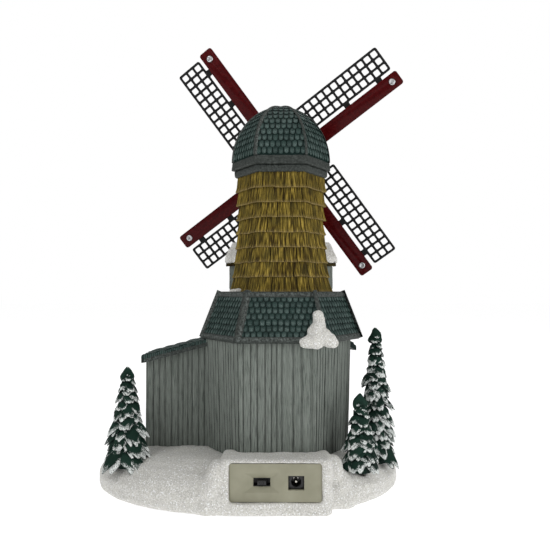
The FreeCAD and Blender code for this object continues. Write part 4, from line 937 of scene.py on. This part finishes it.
def tree(node, seed):
    """A dense little spruce: tiers of drooping boughs, each of a few sprays, round a core painted dark as
    shade.
    """
    rng = random.Random(seed)
    low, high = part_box(node)
    trunk = middle(node)
    depth_in_snow, bough_room = 7.5 * MM, 8 * MM
    foot = ground_z - depth_in_snow
    height = high.z - foot
    spread = (high.x - low.x) / 2 * 1.1
    surface = Surface()
    # the core takes the darkest tone: painted shade deep inside the tree
    core = [[(point, 0.0, 0.0) for point in circle(trunk, spread * radius, foot + height * share, 10)]
            for share, radius in TREE_CORE]
    surface.grid(core, closed=True)
    boughs = round(BOUGHS * (height / (60 * MM)) * (spread / (14 * MM)))
    golden_angle = math.radians(137.5)
    for bough in range(boughs):
        share = (bough / boughs) ** 1.15
        reach = (spread * (1 - share) ** 0.8 + 2.4 * MM) * rng.uniform(0.8, 1.12)
        level = foot + 3.0 * MM + (height - bough_room) * share + rng.uniform(-1.2, 1.2) * MM
        turn = bough * golden_angle + rng.uniform(-0.3, 0.3)
        for spray in (-1, 0, 1):
            yaw = turn + spray * (0.24 + 0.12 * share) + rng.uniform(-0.07, 0.07)
            out = Vector((math.cos(yaw), math.sin(yaw), 0))
            root = Vector((trunk.x, trunk.y, level + reach * 0.5)) + out * reach * 0.12
            tip = Vector((trunk.x, trunk.y, level + reach * 0.1)) + out * reach * (0.88 if spray else 1.0)
            size = (1.3 + 1.3 * (1 - share)) * MM * rng.uniform(0.85, 1.25)
            lay_spray(surface, root, tip, reach * 0.36, size, rng)
    top = Vector((trunk.x, trunk.y, high.z))
    spire_height, spire_radius = 11 * MM, 2.3 * MM
    lay_spray(surface, top - UP * spire_height, top, 0.0, spire_radius, rng)
    surface.make(node + "_boughs", "foliage", [node], crease=75)


# ---- materials ----------------------------------------------------------------------------------
materials = {}                            # every finished material by the name of its slot


class Paint:
    """A material under construction, over its principled shader."""

    def __init__(self, name, roughness=0.6, metallic=0.0, **constants):
        self.material = materials[name] = bpy.data.materials.new(name)
        self.material.use_nodes = True
        self.nodes, self.links = self.material.node_tree.nodes, self.material.node_tree.links
        self.shader = self.nodes["Principled BSDF"]
        self.shader.inputs["Roughness"].default_value = roughness
        self.shader.inputs["Metallic"].default_value = metallic
        for key, value in constants.items():
            self.shader.inputs[key.replace("_", " ")].default_value = value

    def node(self, kind, **inputs):
        made = self.nodes.new("ShaderNode" + kind)
        for key, value in inputs.items():
            self.feed(made.inputs[key.replace("_", " ")], value)
        return made

    def feed(self, socket, value):
        if isinstance(value, bpy.types.NodeSocket):
            self.links.new(value, socket)
        elif hasattr(value, "__len__") and len(value) == 3 and socket.type == "RGBA":
            socket.default_value = (*value, 1.0)
        else:
            socket.default_value = value

    def noise(self, size, detail=3.0, stretch=(1, 1, 1), roughness=0.55):
        """Noise whose features are about size metres across, drawn out along an axis by stretch."""
        place = self.nodes.new("ShaderNodeTexCoord").outputs["Object"]
        mapping = self.node("Mapping", Vector=place, Scale=[1 / (size * s) for s in stretch])
        return self.node("TexNoise", Vector=mapping.outputs[0], Scale=1.0, Detail=detail,
                         Roughness=roughness).outputs["Fac"]

    def cells(self, size):
        place = self.nodes.new("ShaderNodeTexCoord").outputs["Object"]
        return self.node("TexVoronoi", Vector=place, Scale=1 / size)

    def ramp(self, value, *stops):
        """A colour, or a grey value, by stops of (position, colour)."""
        made = self.node("ValToRGB", Fac=value)
        ramp = made.color_ramp
        while len(ramp.elements) < len(stops):
            ramp.elements.new(0.5)
        for element, (place, colour) in zip(ramp.elements, stops):
            element.position = place
            colour = (colour, colour, colour) if isinstance(colour, (int, float)) else colour
            element.color = (*colour, 1.0)
        return made.outputs["Color"]

    def mix(self, factor, a, b, blend="MIX"):
        made = self.nodes.new("ShaderNodeMix")
        made.data_type = "RGBA"
        made.blend_type = blend
        self.feed(made.inputs[0], factor)
        self.feed(made.inputs[6], a)
        self.feed(made.inputs[7], b)
        return made.outputs[2]

    def maths(self, operation, a, b=0.0, clamp=False):
        made = self.nodes.new("ShaderNodeMath")
        made.operation = operation
        made.use_clamp = clamp
        self.feed(made.inputs[0], a)
        self.feed(made.inputs[1], b)
        return made.outputs[0]

    def value(self, name):
        made = self.nodes.new("ShaderNodeAttribute")
        made.attribute_name = name
        return made.outputs["Fac"]

    def shade_mask(self, distance, low=0.35, high=0.9):
        """How open a point is, as a mask for painted shade: 0 in crevices to 1 in the open."""
        made = self.node("AmbientOcclusion", Distance=distance)
        made.only_local = True
        made.samples = 6
        return self.ramp(made.outputs["AO"], (low, 0.0), (high, 1.0))

    def bump(self, height, distance, strength=1.0):
        made = self.node("Bump", Height=height, Distance=distance, Strength=strength)
        self.links.new(made.outputs[0], self.shader.inputs["Normal"])

    def painted_shade(self, distance, low, high, dark, colour):
        """The colour with painted shade: turned dark in crevices, where shade falls."""
        return self.mix(self.shade_mask(distance, low, high), dark, colour)

    def finish(self, colour, texture, rough, depth, strength):
        """Sets the colour; the texture drives the roughness, from low to high, and the bump."""
        self.feed(self.shader.inputs["Base Color"], colour)
        self.feed(self.shader.inputs["Roughness"], self.ramp(texture, (0.25, rough[0]), (0.75, rough[1])))
        self.bump(texture, depth, strength)

    def two_tone(self, texture, dark, light, rough, depth, strength, top=0.7):
        """Finishes a plain material whose texture mixes two close colours."""
        self.finish(self.ramp(texture, (0.3, dark), (top, light)), texture, rough, depth, strength)


def snow_paint():
    """Sparkling craft snow: warm white grains with tiny mirror flecks, and painted shade that greys it in the
    hollows.
    """
    paint = Paint("snow", Subsurface_Weight=0.08, Subsurface_Scale=0.5, Specular_IOR_Level=0.5,
                  Coat_Weight=0.15, Coat_Roughness=0.3)
    paint.shader.inputs["Subsurface Radius"].default_value = (0.003, 0.003, 0.004)
    grains = paint.noise(0.75 * MM, detail=4, roughness=0.7)
    drift = paint.noise(9 * MM)
    # painted shade: the white is mixed towards grey where the snow is shut in
    unshaded = paint.shade_mask(5 * MM, 0.2, 0.85)
    white = paint.ramp(grains, (0.3, (0.36, 0.35, 0.32)), (0.5, (0.63, 0.62, 0.58)),
                       (0.68, (0.88, 0.87, 0.84)))
    white = paint.mix(paint.ramp(drift, (0.4, 0.0), (0.75, 0.4)), white, (0.64, 0.63, 0.59))
    white = paint.mix(unshaded, paint.mix(0.75, white, (0.30, 0.30, 0.28)), white)
    flecks = paint.cells(0.55 * MM)
    sparkle = paint.ramp(flecks.outputs["Color"], (0.80, 0.0), (0.86, 1.0))
    paint.feed(paint.shader.inputs["Base Color"], paint.mix(sparkle, white, (0.98, 0.99, 1.0)))
    mirror = paint.ramp(flecks.outputs["Color"], (0.78, 0.8), (0.88, 0.16))
    paint.feed(paint.shader.inputs["Roughness"], mirror)
    paint.bump(paint.mix(0.45, grains, flecks.outputs["Distance"]), 0.45 * MM, 0.9)


def plank_paint():
    """Weathered grey boards: vertical grain, a tone for each board, brushed edges, and painted shade that
    turns the gaps black.
    """
    paint = Paint("plank_grey", Specular_IOR_Level=0.15)
    grain = paint.noise(0.42 * MM, detail=5, stretch=(1, 1, 26), roughness=0.65)
    patches = paint.noise(9 * MM, detail=3, stretch=(1, 1, 2.5))
    base = paint.ramp(grain, (0.34, (0.048, 0.056, 0.049)), (0.47, (0.150, 0.170, 0.151)),
                      (0.66, (0.225, 0.252, 0.225)))
    base = paint.mix(paint.ramp(paint.value("tone"), (0.0, 0.0), (1.0, 0.3)), base, (0.125, 0.142, 0.125))
    base = paint.mix(paint.ramp(patches, (0.35, 0.0), (0.75, 0.35)), base, (0.215, 0.235, 0.215))
    brushed = paint.maths("MULTIPLY", paint.value("worn"), paint.ramp(grain, (0.42, 0.0), (0.66, 0.45)))
    base = paint.mix(brushed, base, (0.30, 0.325, 0.30))
    # painted shade: near black in the gaps and corners between the boards
    base = paint.painted_shade(1.4 * MM, 0.46, 0.94, (0.004, 0.005, 0.004), base)
    paint.finish(base, grain, (0.62, 0.82), 0.28 * MM, 0.8)


def trim_paint():
    """Carved grey trim: mid grey paint, lighter on the crests, and painted shade that darkens the cuts."""
    paint = Paint("trim_grey", Specular_IOR_Level=0.18)
    rubbed = paint.noise(1.2 * MM, detail=5, roughness=0.65)
    base = paint.ramp(rubbed, (0.32, (0.020, 0.024, 0.021)), (0.52, (0.040, 0.046, 0.042)),
                      (0.72, (0.070, 0.079, 0.073)))
    crest = paint.maths("MULTIPLY", paint.value("worn"), paint.ramp(rubbed, (0.42, 0.0), (0.65, 0.6)))
    base = paint.mix(crest, base, (0.19, 0.215, 0.205))
    # painted shade: dark in the cuts and where the trim meets the roof
    base = paint.painted_shade(1.8 * MM, 0.35, 0.85, (0.008, 0.010, 0.009), base)
    paint.finish(base, rubbed, (0.5, 0.72), 0.3 * MM, 0.6)


def shingle_paint():
    """Dark teal scales: a tone for each, pale green dry-brushing on the lips, and painted shade, near black,
    between them.
    """
    paint = Paint("shingle_green", Specular_IOR_Level=0.16)
    streaks = paint.noise(0.6 * MM, detail=4, roughness=0.6)
    base = paint.mix(paint.value("tone"), (0.004, 0.017, 0.014), (0.011, 0.034, 0.028))
    base = paint.mix(paint.ramp(streaks, (0.35, 0.0), (0.75, 0.7)), base, (0.010, 0.024, 0.022))
    brushed = paint.maths("MULTIPLY", paint.value("worn"), paint.ramp(streaks, (0.36, 0.2), (0.6, 0.85)))
    base = paint.mix(brushed, base, (0.125, 0.172, 0.160))
    # painted shade: near black between the scales and under their lips
    base = paint.painted_shade(0.9 * MM, 0.45, 0.92, (0.002, 0.004, 0.004), base)
    paint.finish(base, streaks, (0.38, 0.6), 0.16 * MM, 0.7)


def thatch_paint():
    """Old straw: golden and olive strands, brown between them, pale cut ends at each lip."""
    paint = Paint("thatch", Specular_IOR_Level=0.1)
    strands = paint.noise(0.34 * MM, detail=5, stretch=(1, 1, 12), roughness=0.7)
    patches = paint.noise(7 * MM, detail=3)
    tone = paint.maths("ADD", paint.maths("MULTIPLY", paint.value("tone"), 0.62),
                       paint.maths("MULTIPLY", strands, 0.42))
    base = paint.ramp(tone, (0.24, (0.016, 0.010, 0.003)), (0.42, (0.062, 0.042, 0.009)),
                      (0.58, (0.172, 0.122, 0.020)), (0.80, (0.42, 0.30, 0.060)))
    base = paint.mix(paint.ramp(patches, (0.45, 0.0), (0.70, 0.6)), base, (0.075, 0.062, 0.016))
    cut_ends = paint.maths("MULTIPLY", paint.value("worn"), paint.ramp(strands, (0.36, 0.35), (0.6, 0.95)))
    base = paint.mix(cut_ends, base, (0.36, 0.27, 0.12))
    # painted shade: dark brown under the lips and in the joints
    base = paint.painted_shade(1.8 * MM, 0.4, 0.88, (0.006, 0.004, 0.002), base)
    paint.finish(base, strands, (0.7, 0.9), 0.3 * MM, 0.9)


def foliage_paint():
    """Dark green needles under brushed snow: white on the tips and upper sides."""
    paint = Paint("foliage", Specular_IOR_Level=0.12)
    needles = paint.noise(0.45 * MM, detail=4, roughness=0.7)
    green = paint.mix(paint.value("tone"), (0.005, 0.020, 0.013), (0.014, 0.042, 0.029))
    green = paint.mix(paint.ramp(needles, (0.35, 0.0), (0.75, 0.75)), green, (0.003, 0.014, 0.010))
    # painted shade: the green turns darker deep among the boughs
    green = paint.painted_shade(3 * MM, 0.2, 0.85, (0.002, 0.006, 0.005), green)
    snow = paint.maths("MULTIPLY", paint.value("worn"), paint.ramp(needles, (0.36, 0.2), (0.56, 1.4)))
    snow = paint.ramp(snow, (0.27, 0.0), (0.38, 1.0))
    base = paint.mix(snow, green, (0.80, 0.83, 0.81))
    paint.finish(base, needles, (0.55, 0.8), 0.35 * MM, 1.0)


def spar_paint():
    """Glossy oxblood paint with faint streaks and duller edges."""
    paint = Paint("spar_red", Specular_IOR_Level=0.1)
    streaks = paint.noise(2.2 * MM, detail=4)
    base = paint.ramp(streaks, (0.3, (0.042, 0.0014, 0.002)), (0.55, (0.062, 0.0022, 0.003)),
                      (0.8, (0.088, 0.005, 0.005)))
    # painted shade: darker red where the spars meet other parts
    base = paint.painted_shade(1.2 * MM, 0.2, 0.7, (0.02, 0.002, 0.003), base)
    paint.finish(base, streaks, (0.2, 0.34), 0.06 * MM, 0.5)


def lattice_paint():
    """Matt black moulded plastic with a faint texture."""
    paint = Paint("lattice_black", Specular_IOR_Level=0.2)
    paint.two_tone(paint.noise(0.5 * MM), (0.004, 0.004, 0.004), (0.010, 0.010, 0.011), (0.42, 0.6),
                   0.05 * MM, 0.5, top=0.75)


def panel_paint():
    """Cream moulded plastic: slightly yellowed, satin, with a fine texture and painted shade in the corners.
    """
    paint = Paint("panel_cream", Specular_IOR_Level=0.45)
    texture, haze = paint.noise(0.35 * MM), paint.noise(12 * MM)
    base = paint.ramp(haze, (0.3, (0.255, 0.248, 0.175)), (0.7, (0.315, 0.305, 0.222)))
    # painted shade: darker in the corners and the recess
    base = paint.painted_shade(2.2 * MM, 0.2, 0.85, (0.13, 0.13, 0.095), base)
    paint.finish(base, texture, (0.4, 0.52), 0.03 * MM, 0.4)


def plastic_paint(name, dark, light, *rough):
    """Plain moulded plastic, rubber or card with a fine texture."""
    paint = Paint(name, Specular_IOR_Level=0.45)
    paint.two_tone(paint.noise(0.6 * MM), dark, light, rough, 0.05 * MM, 0.5)


def metal_paint(name, dark, light, *rough):
    """Turned or drawn metal with fine scratches."""
    paint = Paint(name, metallic=1.0)
    scratches = paint.noise(0.3 * MM, detail=4, stretch=(1, 6, 1))
    paint.two_tone(scratches, dark, light, rough, 0.02 * MM, 0.4)


def door_paint():
    """Dark red door boards with vertical grain."""
    paint = Paint("door_red", Specular_IOR_Level=0.35)
    grain = paint.noise(0.45 * MM, detail=5, stretch=(1, 1, 20))
    base = paint.ramp(grain, (0.3, (0.12, 0.018, 0.012)), (0.7, (0.27, 0.05, 0.035)))
    # painted shade: darker red in the recesses of the door
    base = paint.painted_shade(1.2 * MM, 0.25, 0.8, (0.02, 0.004, 0.003), base)
    paint.finish(base, grain, (0.5, 0.75), 0.25 * MM, 0.8)


def glass_paint(name, dark, light):
    """Frosted tinted glass."""
    paint = Paint(name, Transmission_Weight=0.55, IOR=1.45)
    paint.two_tone(paint.noise(1.5 * MM), dark, light, (0.25, 0.45), 0.05 * MM, 0.4)


def mix_paints():
    """Makes every material; the names are the slots in the CAD record."""
    for paint in (snow_paint, plank_paint, trim_paint, shingle_paint, thatch_paint, foliage_paint, spar_paint,
                  lattice_paint, panel_paint, door_paint):
        paint()
    glass_paint("pane_amber", (0.75, 0.42, 0.10), (0.95, 0.66, 0.25))
    glass_paint("lamp_glass", (0.85, 0.78, 0.6), (0.95, 0.9, 0.72))
    plastic_paint("cover_card", (0.02, 0.05, 0.035), (0.035, 0.075, 0.05), 0.7, 0.85)
    plastic_paint("rubber", (0.015, 0.015, 0.015), (0.035, 0.035, 0.035), 0.65, 0.8)
    plastic_paint("board_green", (0.02, 0.14, 0.06), (0.04, 0.2, 0.1), 0.35, 0.5)
    plastic_paint("black_plastic", (0.008, 0.008, 0.009), (0.02, 0.02, 0.021), 0.25, 0.4)
    plastic_paint("gear_white", (0.7, 0.7, 0.66), (0.8, 0.8, 0.76), 0.3, 0.45)
    metal_paint("steel", (0.45, 0.45, 0.46), (0.66, 0.66, 0.67), 0.2, 0.38)
    metal_paint("nickel", (0.62, 0.60, 0.55), (0.82, 0.80, 0.74), 0.12, 0.25)
    metal_paint("brass_bush", (0.60, 0.44, 0.18), (0.78, 0.60, 0.28), 0.22, 0.38)


def paint_nodes():
    """Every CAD node that still shows gets the material of its slot."""
    slots = {part["node"]: part["material_slot"] for part in frame["record"]["subparts"]}
    for name, piece in frame["nodes"].items():
        piece.data.materials.clear()
        piece.data.materials.append(materials[slots[name]])


# ---- stage, lights, camera ----------------------------------------------------------------------
def set_floor():
    """A wide pale floor under the feet, lit a little from within so that it runs into the white wall."""
    level = cad_bounds[0][2]
    reach = 6.0
    corners = [(x * reach, y * reach, level) for x, y in ((-1, -1), (1, -1), (1, 1), (-1, 1))]
    data = bpy.data.meshes.new("floor")
    data.from_pydata(corners, [], [(0, 1, 2, 3)])
    floor = bpy.data.objects.new("floor", data)
    bpy.context.scene.collection.objects.link(floor)
    paint = Paint("floor", roughness=0.7)
    mottle = paint.noise(0.15)
    paint.feed(paint.shader.inputs["Base Color"], paint.ramp(mottle, (0.3, 0.40), (0.7, 0.42)))
    paint.shader.inputs["Emission Color"].default_value = (1.0, 1.0, 1.0, 1.0)
    paint.shader.inputs["Emission Strength"].default_value = 0.86
    data.materials.append(paint.material)


def area_light(name, place, target, size, power):
    data = bpy.data.lights.new(name, "AREA")
    data.size = size
    data.energy = power
    lamp = bpy.data.objects.new(name, data)
    lamp.location = place
    lamp.rotation_euler = (target - place).to_track_quat("-Z", "Y").to_euler()
    bpy.context.scene.collection.objects.link(lamp)


def set_lights():
    """Big soft lights round the camera's side, in an even studio whose wall shows white."""
    target = Vector((tower_axis.x, tower_axis.y, 0.12))
    lamps = (("key", (0.75, 0.8, 0.85), 0.7, 4.8), ("fill", (-0.95, 0.65, 0.25), 0.9, 5.8),
             ("top", (0.0, -0.1, 1.2), 1.0, 2.6), ("front", (-0.2, -1.3, 0.7), 1.0, 3.0))
    for name, offset, size, power in lamps:
        area_light(name, target + Vector(offset), target, size, power)
    world = bpy.data.worlds.new("studio")
    world.use_nodes = True
    nodes, links = world.node_tree.nodes, world.node_tree.links
    wall_light, wall_seen = 0.28, 1.0
    seen = nodes.new("ShaderNodeLightPath").outputs["Is Camera Ray"]
    strength = nodes.new("ShaderNodeMapRange")
    strength.inputs["To Min"].default_value = wall_light
    strength.inputs["To Max"].default_value = wall_seen
    links.new(seen, strength.inputs["Value"])
    links.new(strength.outputs["Result"], nodes["Background"].inputs["Strength"])
    nodes["Background"].inputs["Color"].default_value = (1.0, 1.0, 1.0, 1.0)
    bpy.context.scene.world = world
    bpy.context.scene.view_settings.view_transform = "Standard"


def set_camera():
    """Eye level with the skirt roof, close behind the figurine."""
    distance, eye_level = 0.440, 0.128
    pitch, yaw = math.radians(1.27), math.radians(0.5)
    data = bpy.data.cameras.new("camera")
    data.sensor_width = 36.0
    data.lens = 44.2
    data.clip_start = 0.01
    camera = bpy.data.objects.new("camera", data)
    camera.location = (tower_axis.x, tower_axis.y + distance, eye_level)
    view = Vector((math.sin(yaw), -math.cos(yaw), math.tan(pitch)))
    camera.rotation_euler = view.to_track_quat("-Z", "Y").to_euler()
    bpy.context.scene.collection.objects.link(camera)
    bpy.context.scene.camera = camera


# ---- everything ---------------------------------------------------------------------------------
set_camera()
mix_paints()
paint_nodes()
skirt_scales()
dome_scales()
shed_shingles()
awning_shingles()
barn_planks()
shed_planks()
skirt_trim()
dome_trim()
tower_thatch()
dormer_thatch()
carve_rings()
carve_joinery()
soft_hardware()
snow_ground()
roof_snow()
snowy_steps()
for tree_seed, tree_node in enumerate(("tree_shed_side", "tree_tall", "tree_small")):
    tree(tree_node, 60 + tree_seed)
set_floor()
set_lights()
